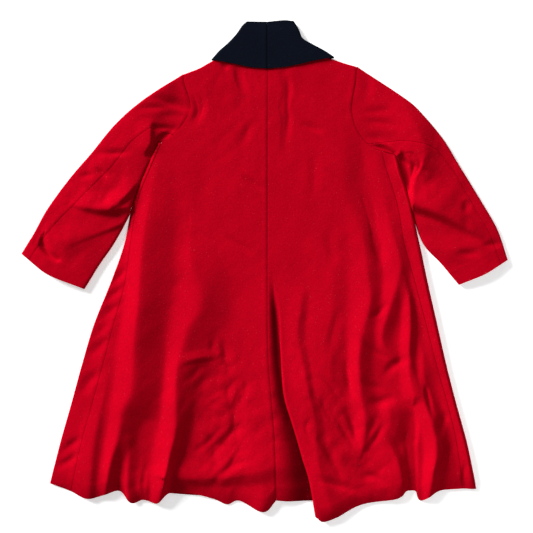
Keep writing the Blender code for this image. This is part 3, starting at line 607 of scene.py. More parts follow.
def noise(xy, across, along, seed):
    """Smooth noise between about -1 and 1, with one wave to each across by along."""
    angle = np.random.default_rng(seed).uniform(0, 2 * math.pi, (NOISE_CELLS, NOISE_CELLS))
    p = xy / [across, along]
    corner = np.floor(p).astype(int)
    part = p - corner
    ease = part**3 * (part * (part * 6 - 15) + 10)
    total = 0
    for i in (0, 1):
        for j in (0, 1):
            turn_by = angle[(corner[..., 0] + i) % NOISE_CELLS, (corner[..., 1] + j) % NOISE_CELLS]
            slope = np.cos(turn_by) * (part[..., 0] - i) + np.sin(turn_by) * (part[..., 1] - j)
            weight = (ease[..., 0] if i else 1 - ease[..., 0]) * (ease[..., 1] if j else 1 - ease[..., 1])
            total = total + slope * weight
    return total * NOISE_GAIN


def waves(xy, crumple):
    """Noise that runs the crumple's way."""
    angle = math.radians(crumple.turn)
    across = xy[..., 0] * math.cos(angle) + xy[..., 1] * math.sin(angle)
    along = xy[..., 1] * math.cos(angle) - xy[..., 0] * math.sin(angle)
    return noise(np.stack([across, along], axis=-1), crumple.across, crumple.along, crumple.seed)


def crumpled(xy):
    """Uneven facets where the cloth is crumpled, and soft swells all over."""
    strength = CRUSHED_LEAST
    for c in CRUSHED:
        off = (xy[..., 0] - c.x) ** 2 + (xy[..., 1] - c.y) ** 2
        strength = strength + c.amount * np.exp(-off / c.reach**2)
    total = 0
    for c in CRUMPLES:
        facets = np.abs(waves(xy, c))
        total = total + c.depth * (facets - FACETS_MEAN) * strength
    for c in SWELLS:
        total = total + c.depth * waves(xy, c)
    return total * bpy.context.scene.cloak.crease


def settled(z, below):
    """Heights that come softly to rest on the cloth below."""
    return below + LAYER_SOFT * np.logaddexp(0, (z - below) / LAYER_SOFT)


def front_hem(x):
    """The fronts' lower edge at a distance across."""
    line = through(FRONT_HEM, FINE_STEPS)
    return np.interp(x, line[:, 0], line[:, 1])


def lower(xy):
    """Height of the layer on the table, which rises over the collar's front ends."""
    return LOWER + COLLAR_RISE * smooth(xy[..., 1], CHEST_Y, COLLAR_Y)


def least(xy):
    """The lowest that an upper layer can lie, over the fronts and their lap."""
    middle = np.abs(xy[..., 0] - CENTRE_AT_NECK[0])
    lap = LAP_RISE * (1 - smooth(middle, LAP_HALF, LAP_HALF + LAP_RAMP))
    past_hem = smooth(front_hem(xy[..., 0]) - xy[..., 1], 0, PAST_HEM)
    return lower(xy) + (lap + CLOTH + LAYER_CLEAR) * (1 - past_hem)


def upper(xy):
    """Height of the body's upper layer."""
    droop = smooth(xy[..., 1] - front_hem(xy[..., 0]), 0, HEM_DROOP)
    folds = relief(BODY_RIDGES, xy) * (HEM_KEEP + (1 - HEM_KEEP) * droop)
    creases = relief(BODY_CREASES, xy) * bpy.context.scene.cloak.crease
    return UPPER + folds + creases + crumpled(xy)


def lifted(xy, z):
    """Places across and along, with a height."""
    return np.concatenate([xy, np.broadcast_to(z, xy.shape[:-1])[..., None]], axis=-1)


def run_along(grid, axis, from_end=False):
    """How far each place lies from the first or last line of the grid, along an axis."""
    steps = np.linalg.norm(np.diff(grid[..., :2], axis=axis), axis=-1)
    start = np.zeros_like(np.take(steps, [0], axis=axis))
    if from_end:
        flipped = np.concatenate([start, np.cumsum(np.flip(steps, axis), axis=axis)], axis=axis)
        return np.flip(flipped, axis)
    return np.concatenate([start, np.cumsum(steps, axis=axis)], axis=axis)


def press_seam(grid, axis, from_end=False, depth=1.0):
    """Draws the cloth in along a seam, and puffs it over the seam's allowance."""
    away = run_along(grid, axis, from_end)
    dip = np.exp(-((away / SEAM_WIDTH) ** 2))
    puff = SEAM_PUFF * np.exp(-(((away - SEAM_PUFF_AT) / SEAM_PUFF_WIDTH) ** 2))
    grid[..., 2] += depth * (puff - dip)


def hem_drop(away):
    """How far the cloth comes down beside a turned hem, with the line that its turning presses in."""
    line = (away - bpy.context.scene.cloak.hem_turn / MM) / HEM_LINE_WIDTH
    return HEM_LINE_DIP * np.exp(-(line**2)) + HEM_FALL * np.clip(1 - away / HEM_REACH, 0, 1) ** 2


def turn(edge, out, start, end, reach=None):
    """Half-round turns between two heights, with their outermost points on the edge.

    Without a reach, each is round.
    """
    radius = np.abs(end - start) / 2 if reach is None else np.full(len(edge), reach)
    rows = []
    for k in range(TURN_STEPS + 1):
        angle = math.pi * (k / TURN_STEPS - 0.5)
        xy = edge - out * (radius * (1 - math.cos(angle)))[:, None]
        rows.append(lifted(xy, (start + end) / 2 + (end - start) / 2 * math.sin(angle)))
    return np.stack(rows)


def edge_out(xy):
    """Which way is out from the first column of a grid."""
    return unit(xy[:, 0] - xy[:, 1])


def column(side, name):
    """One column of the sections, hem to underarm."""
    return [(getattr(s, f"{side}_{name}"), s.y) for s in SECTIONS]


def side_edge(side):
    """The rolled edge of a side, hem to underarm."""
    return through([EDGE_AT_HEM[side], *column(side, "edge"), UNDERARM[side]], SIDE_STEPS)


def side_seam(side):
    """The side seam on the back, hem to armhole."""
    return through([SEAM_AT_HEM[side], *column(side, "seam"), SEAM_TOP[side]], SIDE_STEPS)


def armhole(side, out):
    """From the top of the side seam to just inside the shoulder's roll, moved out to the sleeve."""
    x, y = SHOULDER[side]
    line = through([SEAM_TOP[side], *ARMHOLE[side], (x, y - TURN)], ARMHOLE_STEPS)
    return line + right_hand(line) * SIDES[side] * out


def low_armhole(side, out):
    """The armhole in the layer on the table, which the upper one hides."""
    shift = LOWER_SHIFT * smooth(np.arange(ARMHOLE_STEPS + 1), 0, LOWER_CORNER)
    return armhole(side, out - shift[:, None])


def shoulder_ends(side):
    """The flat part's corners at the shoulder and at the neck."""
    (x, y), (neck_x, neck_y) = SHOULDER[side], NECK_POINT[side]
    return np.array([(x, y - TURN), (neck_x, neck_y - TURN)], float)


def cloth_size(grid, kept):
    """Width, length and area of a grid of cloth laid out flat, in metres."""
    wide = np.linalg.norm(np.diff(grid, axis=1), axis=2)
    wide[:-1] *= kept
    long = np.linalg.norm(np.diff(grid, axis=0), axis=2)
    long[:, :-1] *= kept
    one, two = grid[1:, 1:] - grid[:-1, :-1], grid[1:, :-1] - grid[:-1, 1:]
    area = np.linalg.norm(np.cross(one, two), axis=2)[kept].sum() / 2
    return (wide.sum(axis=1).max() * MM, long.sum(axis=0).max() * MM), area * MM**2


def sheet_mesh(node, grid, kept, slot, painted_shade):
    """A mesh of the kept cells of a grid, facing up, and the places of the grid that it uses."""
    rows, columns = grid.shape[:2]
    at = np.arange(rows * columns).reshape(rows, columns)
    faces = np.stack([at[:-1, :-1], at[:-1, 1:], at[1:, 1:], at[1:, :-1]], axis=2)[kept]
    used, index = np.unique(faces, return_inverse=True)
    mesh = bpy.data.meshes.new(node)
    mesh.from_pydata(grid.reshape(-1, 3)[used] * MM, [], index.reshape(-1, 4).tolist())
    if sum(p.normal.z * p.area for p in mesh.polygons) < 0:
        mesh.flip_normals()
    mesh.shade_smooth()
    # Painted shade, kept on the mesh so that the wool darkens its colour there
    if painted_shade is not None:
        painted_shade_layer = mesh.attributes.new("painted_shade", "FLOAT", "POINT")
        painted_shade_layer.data.foreach_set("value", painted_shade.reshape(-1)[used])
    mesh.materials.append(bpy.data.materials[f"{slot} wool"])
    return mesh, used


def thicken(made, thickness, turned):
    """Gives a sheet its thickness, and the hem's to the places where it is turned."""
    look = bpy.context.scene.cloak
    solid = made.modifiers.new("Cloth thickness", "SOLIDIFY")
    solid.thickness = thickness
    solid.offset = 0
    if turned.any():
        group = made.vertex_groups.new(name="turned hem")
        group.add(np.nonzero(turned)[0].tolist(), 1.0, "REPLACE")
        solid.thickness = look.hem_cloth
        solid.vertex_group = group.name
        solid.thickness_vertex_group = look.cloth / look.hem_cloth
    whole = bpy.data.meshes.new_from_object(made.evaluated_get(bpy.context.evaluated_depsgraph_get()))
    whole.set_sharp_from_angle(angle=CUT_ANGLE)
    made.modifiers.clear()
    made.vertex_groups.clear()
    thin, name = made.data, made.data.name
    made.data = whole
    bpy.data.meshes.remove(thin)
    whole.name = name


def shell(node, grid, slot, thickness, rests_on, bare=(), hem=None, also=(), painted_shade=None):
    """A thin cloth shell round a grid of middle points, which stands for a node of the cloak.

    Bare slices of cells have no cloth. A hem is a grid of distances from the turned edge, and also
    names other nodes of the same piece of cloth. Painted shade is a grid of 0 to 1 that darkens the colour.
    """
    look = bpy.context.scene.cloak
    turned = np.zeros(grid.shape[:2], bool) if hem is None else hem < look.hem_turn / MM
    rest = np.where(turned, look.hem_cloth / MM / 2, 0)
    grid = lifted(grid[..., :2], np.maximum(grid[..., 2], rest))
    kept = np.ones((grid.shape[0] - 1, grid.shape[1] - 1), bool)
    for part in bare:
        kept[part] = False
    mesh, used = sheet_mesh(node, grid, kept, slot, painted_shade)
    made = bpy.data.objects.new(f"cloth_{node}", mesh)
    bpy.context.scene.collection.objects.link(made)
    thicken(made, thickness, turned.reshape(-1)[used])
    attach(made, "root")
    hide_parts(node, *also)
    flat, area = cloth_size(grid, kept)


def shoulder_roll(row, end):
    """Rows that roll a layer's upper edge out to the shoulder seam, half-way to the other layer."""
    out = np.zeros((len(row), 2))
    out[:, 1] = 1
    radius = np.abs(end - row[:, 2]) / 2
    rows = turn(row[:, :2] + out * radius[:, None], out, row[:, 2], end)[1 : SHOULDER_STEPS + 1]
    rows[-1, :, 2] -= np.sign(end - row[:, 2]) * SEAM_GAP / 2
    return rows


def shoulder_line(side, steps):
    """A back's shoulder, from its end at the armhole to its end at the neck."""
    ends = shoulder_ends(side)
    return through([ends[0], *[(x, y - TURN) for x, y in SHOULDER_LINE[side]], ends[1]], steps)


def bow(side, xy):
    """How far a back's shoulder curves away from the straight line between its ends."""
    ends = shoulder_ends(side)
    across = (xy[:, 0] - ends[0, 0]) / (ends[1, 0] - ends[0, 0])
    line = shoulder_line(side, FINE_STEPS)
    order = np.argsort(line[:, 0])
    curved = np.interp(xy[:, 0], line[order, 0], line[order, 1])
    straight = ends[0, 1] + across * (ends[1, 1] - ends[0, 1])
    return np.where((across > 0) & (across < 1), curved - straight, 0)


def back_top(side, centre, steps):
    """The upper edge of a back: its shoulder, then its half of the neck."""
    shoulder = shoulder_line(side, steps - NECK_STEPS)
    return np.vstack([shoulder, through([shoulder_ends(side)[1], centre], NECK_STEPS)[1:]])


def centre_back():
    """The centre-back seam, hem to neck."""
    line = [CENTRE_AT_HEM, *[(s.centre, s.y) for s in SECTIONS], CENTRE_AT_NECK]
    return through(line, SIDE_STEPS + ARMHOLE_STEPS)


def back_outline(side):
    """The side seam and armhole of a back, half a groove inside."""
    seam = side_seam(side) - SIDES[side] * np.array([SEAM_LINE / 2, 0])
    return np.vstack([seam, armhole(side, -SEAM_LINE / 2)[1:]])


def finish_back(side, grid, outer_last):
    """Presses a back's seams and hem, keeps it off the fronts and rolls its shoulder."""
    depth = SEAM_DIP["left" if side == "right" else "right"]
    fine = np.where(np.arange(len(grid)) < SIDE_STEPS, FINE_SEAM, 1)[:, None]
    press_seam(grid, 1, from_end=outer_last, depth=depth * fine)
    away = run_along(grid, 0)
    grid[..., 2] -= hem_drop(away)
    grid[..., 2] = settled(grid[..., 2], least(grid[..., :2]))
    rolled = shoulder_roll(grid[-1], lower(grid[-1, :, :2]))
    past = away[-1:] + np.zeros((len(rolled), 1))
    return np.concatenate([grid, rolled]), np.concatenate([away, past])


def back_left(look):
    """The left back, from the side seam to the centre-back seam."""
    outer = back_outline("left")
    centre = centre_back() - [SEAM_LINE / 2, 0]
    hem = through(BACK_HEM_LEFT, BACK_STEPS)
    top = back_top("left", centre[-1], BACK_STEPS)
    xy = patch(outer, centre, hem, top, HEM_HOLD, HEM_HOLD)
    grid = lifted(xy, upper(xy))
    press_seam(grid, 1, from_end=True, depth=SEAM_DIP["left"])
    grid, away = finish_back("left", grid, outer_last=False)
    neck = (slice(len(xy) - 1, None), slice(BACK_STEPS - NECK_STEPS, None))
    shell("back_left", grid, "scarlet_melton", look.cloth, ["cloth_front_left"], [neck], away)


def pleat_floor(centre, edge):
    """The pleat's floor from the centre-back seam to the tuck, and how much painted shade darkens it."""
    top = through([centre[-1], edge[-1]], FLOOR_STEPS)
    xy = patch(centre, edge, through(FLOOR_HEM, FLOOR_STEPS), top)
    from_seam = xy[..., 0] - xy[:, :1, 0]
    across = from_seam / from_seam[:, -1:]
    seam_z = upper(xy[:, :1])
    sunk = seam_z + (UPPER - PLEAT_DIP - seam_z) * across**2
    opened = smooth(-edge[:, 1:], *PLEAT_OPENS)
    floor = lifted(xy, upper(xy) * (1 - opened) + (sunk + crumpled(xy)) * opened)
    press_seam(floor, 1, depth=SEAM_DIP["right"])
    return floor, opened * smooth(across, *PAINTED_SHADE_SPAN)


def flap_height(xy, edge, depth, formed):
    """The upper layer right of the pleat, which lies on the tuck and comes down beyond it."""
    beyond = xy[..., 0] - edge[:, None] - depth[:, None]
    lift = (2 * PLEAT_LAYER - PLEAT_DIP) * formed[:, None]
    return upper(xy) + lift * (1 - smooth(beyond, PLEAT_LAYER, PLEAT_LAYER + PLEAT_SPREAD))


def pleat_tuck(inside, outside, floor_edge, flap_edge, depth, formed):
    """Columns of the tuck between the last one of the pleat's floor and the first one of the flap."""
    columns = [inside]
    for k, t in enumerate(TUCK, 1):
        edge = floor_edge * (1 - t.share) + flap_edge * t.share
        full = edge[:, 0] + t.along * depth + t.turn * PLEAT_LAYER / 2
        flat = edge[:, 0] + k * FLAT_SPACING
        even = k / (len(TUCK) + 1)
        flat_z = inside[:, 2] * (1 - even) + outside[:, 2] * even
        full_z = inside[:, 2] + (outside[:, 2] - inside[:, 2]) * t.rise / 2
        x = full * formed + flat * (1 - formed)
        z = full_z * formed + flat_z * (1 - formed)
        columns.append(np.stack([x, edge[:, 1], z], axis=1))
    return spline([*columns, outside], TUCK_STEPS).transpose(1, 0, 2)[:, 1:-1]


def back_right(look):
    """The right back: the pleat's floor, its tuck, and the flap to the side seam."""
    outer = back_outline("right")
    centre = centre_back() + [SEAM_LINE / 2, 0]
    rows = len(outer) - 1
    line = [(p.edge, p.y) for p in PLEAT]
    floor_edge = through([FLOOR_HEM[-1], *line], rows)
    flap_edge = through([FLAP_HEM[0], *line], rows)
    depth = np.interp(floor_edge[:, 1], [p.y for p in PLEAT], [p.depth for p in PLEAT])
    formed = smooth(depth, 0, PLEAT_FORMED)
    floor, floor_painted_shade = pleat_floor(centre, floor_edge)

    first = flap_edge.copy()
    first[:, 0] += PLEAT_LAYER / 2 * formed + (len(TUCK) + 1) * FLAT_SPACING * (1 - formed)
    top = back_top("right", first[-1], FLAP_STEPS)[::-1]
    flap_xy = patch(first, outer, through(FLAP_HEM, FLAP_STEPS), top, HEM_HOLD, HEM_HOLD)
    flap = lifted(flap_xy, flap_height(flap_xy, floor_edge[:, 0], depth, formed))
    tuck = pleat_tuck(floor[:, -1], flap[:, 0], floor_edge, flap_edge, depth, formed)

    grid, away = finish_back("right", np.concatenate([floor, tuck, flap], axis=1), outer_last=True)
    neck = (slice(rows, None), slice(0, NECK_STEPS + grid.shape[1] - 1 - FLAP_STEPS))
    # Painted shade over the pleat's floor where it opens towards the hem, darkest towards the flap's edge and
    # fading out across the tuck
    painted_shade = np.zeros(grid.shape[:2])
    tucked = slice(floor.shape[1], floor.shape[1] + tuck.shape[1])
    painted_shade[: rows + 1, : floor.shape[1]] = floor_painted_shade
    painted_shade[: rows + 1, tucked] = floor_painted_shade[:, -1:] * np.linspace(1, 0, tuck.shape[1])
    cloth = ("scarlet_melton", look.cloth, ["cloth_front_right"], [neck], away)
    shell("back_right", grid, *cloth, painted_shade=painted_shade)


def front_layer(side, flat_edge):
    """A front's layer on the table, from the centre front to the side's turn, with its rolled shoulder."""
    sign = SIDES[side]
    centre = CENTRE_AT_NECK[0]
    ends = shoulder_ends(side)
    stops = [centre - sign * LAP_HALF]
    start = stops[0]
    if side == "right":
        stops += [centre, centre + LAP_HALF + LAP_CLEAR]
        start = stops[-1] + LAP_RAMP

    def neck_y(x):
        return FRONT_NECK_Y + (ends[1, 1] - FRONT_NECK_Y) * (x - stops[0]) / (ends[1, 0] - stops[0])

    outer = np.vstack([flat_edge, low_armhole(side, -SEAM_GAP / 2)])
    outer[-1] = ends[0] - [sign * ROLL_GAP, 0]
    corner = (start, neck_y(start))
    rows = len(outer) - 1
    inner = through([(start, front_hem(start)), corner], rows)
    hem_x = np.linspace(flat_edge[0, 0], start, FRONT_STEPS + 1)
    hem = np.stack([hem_x, front_hem(hem_x)], axis=1)
    hem[0] = flat_edge[0]
    shoulder = through([outer[-1], ends[1]], FRONT_STEPS - FRONT_NECK_STEPS)
    high = np.vstack([shoulder, through([ends[1], corner], FRONT_NECK_STEPS)[1:]])
    xy = patch(outer, inner, hem, high)[:, ::-1]
    flat = lifted(xy, lower(xy))
    if side == "right":
        lap = []
        for x in stops:
            run = through([(x, front_hem(x)), (x, neck_y(x))], rows)
            lap.append(lifted(run, lower(run) + LAP_RISE))
        flat = np.concatenate([np.stack(lap, axis=1), flat], axis=1)
    top_xy = flat[-1, :, :2]
    shoulder_rows = shoulder_roll(flat[-1], settled(upper(top_xy), least(top_xy)))
    for k, row in enumerate(shoulder_rows, 1):
        row[:, 1] += bow(side, top_xy) * k / SHOULDER_STEPS
    return np.concatenate([flat, shoulder_rows])


def front_strip(side, flat_edge, fall):
    """The strip of a front over its side, from the turn to the side seam on the back."""
    seam = side_seam(side) + SIDES[side] * np.array([SEAM_LINE / 2, 0])
    share = np.linspace(0, 1, STRIP_STEPS + 1)[1:, None]
    xy = flat_edge[:, None] * (1 - share) + seam[:, None] * share
    strip = lifted(xy, upper(xy) - fall[:, None] * (1 - share[:, 0]))
    press_seam(strip, 1, from_end=True, depth=SEAM_DIP[side] * FINE_SEAM)
    strip[..., 2] -= hem_drop(run_along(strip, 0))
    strip[..., 2] = settled(strip[..., 2], least(xy))
    return strip


def front(side, look):
    """The layer on the table from the centre front, round the side's turn, to the side seam."""
    edge = side_edge(side)
    out = right_hand(edge) * SIDES[side]
    low = lower(edge)
    fall = EDGE_FALL[side] * (1 - smooth(edge[:, 1], *FALL_FADES))
    top = np.minimum(upper(edge), HIGHEST_EDGE) - hem_drop(run_along(edge[:, None], 0)[:, 0]) - fall
    top = settled(top, low + LEAST_TURN)
    flat_edge = edge - out * ((top - low) / 2)[:, None]

    rolled = turn(edge, out, low, top)[1:].transpose(1, 0, 2)
    strip = np.concatenate([rolled, front_strip(side, flat_edge, fall)], axis=1)
    (x, y), (seam_x, seam_y) = UNDERARM[side], SEAM_TOP[side]
    strip[-1, :, 1] = y + (seam_y - y) * (strip[-1, :, 0] - x) / (seam_x - x)

    flat = front_layer(side, flat_edge)
    above = np.repeat(flat[len(edge):, -1:], strip.shape[1], axis=1)
    grid = np.concatenate([flat, np.concatenate([strip, above])], axis=1)
    away = run_along(grid, 0)
    columns = flat.shape[1]
    beside = (slice(SIDE_STEPS, None), slice(columns - 1, None))
    neck_columns = columns - (FRONT_STEPS - FRONT_NECK_STEPS + 1)
    beyond = (slice(len(flat) - 1 - SHOULDER_STEPS, None), slice(0, neck_columns))
    wrap = [f"front_{side}_wrap"]
    shell(f"front_{side}", grid, "scarlet_melton", look.cloth, ["floor"], [beside, beyond], away, wrap)


def sleeve_edges(side):
    """The inner and outer edges of a sleeve, armhole to cuff, clear of the body's side."""
    sign = SIDES[side]
    stations = SLEEVE[side]
    outer = spline([SHOULDER[side], *[(s.outer_x, s.outer_y) for s in stations]], STATION_STEPS)
    outer[0] += [sign * ROLL_GAP, 0]
    inner = spline([UNDERARM[side], *[(s.inner_x, s.inner_y) for s in stations]], STATION_STEPS)
    body = side_edge(side)
    beside = sign * np.interp(inner[:, 1], body[:, 1], body[:, 0]) + SIDE_GAP
    inner[:, 0] = sign * np.maximum(sign * inner[:, 0], beside)
    corner = STATION_STEPS // 2
    start = armhole(side, SEAM_LINE / 2)[0]
    below = inner[0] + [0, CLOTH / 2 + SEAM_GAP]
    share = np.linspace(0, 1, corner + 1)[:, None]
    tail = np.linspace(0, 1, STATION_STEPS - corner + 1)[1:, None]
    inner[: corner + 1] = start * (1 - share) + below * share
    inner[corner + 1 : STATION_STEPS + 1] = below * (1 - tail) + inner[STATION_STEPS] * tail
    return inner, outer


def hindarm_seam(side, inner, outer, start):
    """The hindarm seam on the back, from its place on the armhole to the cuff."""
    seams = [s.seam for s in SLEEVE[side]]
    down = np.arange(len(inner)) / STATION_STEPS
    share = np.interp(down, np.arange(1, len(seams) + 1), seams)[:, None]
    line = inner * (1 - share) + outer * share
    first = np.linspace(0, 1, STATION_STEPS + 1)[:, None]
    line[: STATION_STEPS + 1] = start * (1 - first) + line[STATION_STEPS] * first
    sag = bulge(through([inner[-1], CUFF_SAG[side], outer[-1]], FINE_STEPS))
    line[-1] += sag[round(FINE_STEPS * seams[-1])]
    return line


def sleeve_height(side, inner, outer, xy):
    """A sleeve's upper layer, crowned between its two edges."""
    width = np.linalg.norm(outer - inner, axis=1)[:, None]
    across = np.linalg.norm(xy - inner[:, None], axis=-1) / width
    crown = SLEEVE_CROWN * np.clip(4 * across * (1 - across), 0, 1)
    down = np.linspace(0, 1, len(inner))[:, None]
    ends = smooth(across, 0, SLEEVE_MARGIN) * (1 - smooth(across, 1 - SLEEVE_MARGIN, 1))
    blend = smooth(down, 0, MOUTH_BLEND)
    folds = blend * ends * relief(SLEEVE_FOLDS[side], xy) + (1 - blend) * relief(BODY_RIDGES, xy)
    creases = relief(ARMHOLE_CREASES[side], xy) * bpy.context.scene.cloak.crease
    z = UPPER + crown * smooth(down, 0, SLEEVE_RISE) + folds + creases + crumpled(xy)
    return settled(z, least(xy))


def sleeve(side, look):
    """A flattened tube, cut along the hindarm seam on the back and the forearm seam beneath."""
    inner, outer = sleeve_edges(side)
    mouth = np.vstack([inner[:1], armhole(side, SEAM_LINE / 2)[SLEEVE_SKIP:-1:SLEEVE_SKIP], outer[:1]])
    steps = len(mouth) - 1
    hind = round(steps * HINDARM_SHARE)
    hindarm = hindarm_seam(side, inner, outer, mouth[hind])
    under_mouth = through(mouth[: hind + 1], UNDER_STEPS)
    under_cuff = through([inner[-1], CUFF_SAG[side], hindarm[-1]], UNDER_STEPS)
    top_cuff = through([hindarm[-1], outer[-1]], steps - hind)
    low_mouth = low_armhole(side, SEAM_GAP / 2)[SLEEVE_SKIP:-1:SLEEVE_SKIP]
    below_mouth = np.vstack([inner[:1], low_mouth, outer[:1]])[::SLEEVE_SKIP]
    cuff = through([inner[-1], CUFF_SAG[side], outer[-1]], len(below_mouth) - 1)
    holds = (MOUTH_HOLD, CUFF_HOLD)
    under_out = edge_out(patch(inner, hindarm, under_mouth, under_cuff, *holds))
    top_out = edge_out(patch(hindarm, outer, mouth[hind:], top_cuff, *holds)[:, ::-1])
    inner_flat, outer_flat = inner - TURN * under_out, outer - TURN * top_out
    under_xy = patch(inner_flat, hindarm, under_mouth, under_cuff, *holds)
    top_xy = patch(hindarm, outer_flat, mouth[hind:], top_cuff, *holds)
    below_xy = patch(inner_flat, outer_flat, below_mouth, cuff, *holds)

    aside = unit(outer - inner) * SEAM_LINE / 2
    under_xy[:, -1] -= aside
    top_xy[:, 0] += aside
    under = lifted(under_xy, sleeve_height(side, inner, outer, under_xy))
    top = lifted(top_xy, sleeve_height(side, inner, outer, top_xy))
    below = lifted(below_xy, lower(below_xy))
    for part, lies in ((under, "right" if side == "left" else "left"), (top, side)):
        press_seam(part, 1, from_end=part is under, depth=SEAM_DIP[lies] * FINE_SEAM)
        press_seam(part, 0, depth=SEAM_DIP[side])
    inner_turn = turn(inner, under_out, below[:, 0, 2], under[:, 0, 2], TURN).transpose(1, 0, 2)
    outer_turn = turn(outer, top_out, top[:, -1, 2], below[:, -1, 2], TURN).transpose(1, 0, 2)
    forearm_gap = unit(below_xy[:, 1] - below_xy[:, 0]) * SEAM_GAP / 2
    seam_out, seam_in = below[:, 1:2].copy(), below[:, 1:2].copy()
    seam_out[:, 0, :2] += forearm_gap
    seam_in[:, 0, :2] -= forearm_gap
    upper_part = [top[:, :-1], outer_turn, below[:, 2:-1][:, ::-1], seam_out]
    under_part = [seam_in, inner_turn, under[:, 1:]]
    for part, made in (("top", upper_part), ("under", under_part)):
        grid = np.concatenate(made, axis=1)
        away = run_along(grid, 0, from_end=True)
        shell(f"sleeve_{side}_{part}", grid, "scarlet_melton", look.cloth, ["floor"], hem=away)


def collar_fall(side, look):
    """Half of the fall: over the back, round the side's turn and under the front."""
    sign = SIDES[side]
    edge = through(FALL_SIDE[side], COLLAR_ROWS)
    low = through(FALL_EDGE[side], COLLAR_STEPS)
    high = through(FALL_TOP[side], COLLAR_STEPS)
    low[-1, 0] += sign * SEAM_GAP / 2
    high[-1, 0] += sign * SEAM_GAP / 2
    middle = through([low[-1], high[-1]], COLLAR_ROWS)
    out = edge_out(patch(edge, middle, low, high))
    reach = (FALL_UPPER - FALL_LOWER) / 2
    xy = patch(edge - reach * out, middle, low, high)
    roll = ROLL_DROP * smooth(np.arange(COLLAR_ROWS + 1), COLLAR_ROWS * ROLL_STARTS, COLLAR_ROWS)
    back_z, front_z = FALL_UPPER - roll, np.full(COLLAR_ROWS + 1, FALL_LOWER)
    over = lifted(xy, back_z[:, None])
    press_seam(over, 1, from_end=True, depth=SEAM_DIP[side])
    under = lifted(xy, front_z[:, None])
    rolled = turn(edge, out, back_z, front_z, reach).transpose(1, 0, 2)
    grid = np.concatenate([over[:, :0:-1], rolled, under[:, 1:]], axis=1)
    rests_on = ["cloth_collar_stand", f"cloth_back_{side}", "floor"]
    shell(f"collar_fall_{side}", grid, "navy_melton", look.collar_cloth, rests_on)


def collar_stand(look):
    """The stand as one band round the neck, open at the centre front."""
    x, y = CENTRE_AT_NECK
    back_z = np.full(STAND_ROWS + 1, UPPER)
    front_z = np.full(STAND_ROWS + 1, FALL_LOWER + COLLAR_CLOTH + SEAM_GAP)
    halves = []
    for side, sign in SIDES.items():
        edge = through(STAND_SIDE[side], STAND_ROWS)
        top_y = STAND_SIDE[side][-1][1]
        layers = []
        for low in ((x, y + ROLL_GAP), (x + sign * SEAM_GAP / 2, y)):
            run = through([low, (low[0], top_y)], STAND_ROWS)
            ends = [through([edge[k], run[k]], NECK_STEPS) for k in (0, -1)]
            layers.append(patch(edge, run, *ends))
        back, fore = layers
        out = unit(edge - back[:, 1])
        rolled = turn(edge, out, front_z, back_z).transpose(1, 0, 2)
        fore = lifted(fore[:, :0:-1], front_z[:, None])
        halves.append(np.concatenate([fore, rolled, lifted(back[:, 1:], back_z[:, None])], axis=1))
    grid = np.concatenate([halves[0], halves[1][:, -2::-1]], axis=1)
    rests_on = ["cloth_collar_fall_left", "cloth_collar_fall_right"]
    shell("collar_stand", grid, "navy_melton", look.collar_cloth, rests_on)


# The wool: waves of its nap, felting, broad unevenness and lint to the metre, and how each changes the dye.
NAP_SCALE = 1100.0
FELT_SCALE = 190.0
BROAD_SCALE = 9.0
LINT_SCALE = 420.0
NAP_DYE = (0.82, 1.16)
FELT_DYE = (0.92, 1.08)
BROAD_DYE = (0.94, 1.06)
# How painted shade scales the colour, from none to the darkest
PAINTED_SHADE_FACTOR = (1.0, 0.33)
LINT_COVER = (0.0, 0.5)
NOISE_RANGE = (0.3, 0.7)  # holds most values of a noise
LINT_RANGE = (0.8, 0.86)  # high enough that lint is rare
ROUGHNESS = (0.86, 1.0)
FELT_BUMP = (0.35, 0.0012)  # strength, and depth in metres
NAP_BUMP = (0.3, 0.0004)
SHEEN = 0.06
SHEEN_ROUGHNESS = 0.5
SHEEN_LIFT = 2.2  # of the sheen's colour over the cloth's
SCARLET_LINT = (0.6, 0.06, 0.07)
NAVY_LINT = (0.03, 0.033, 0.04)


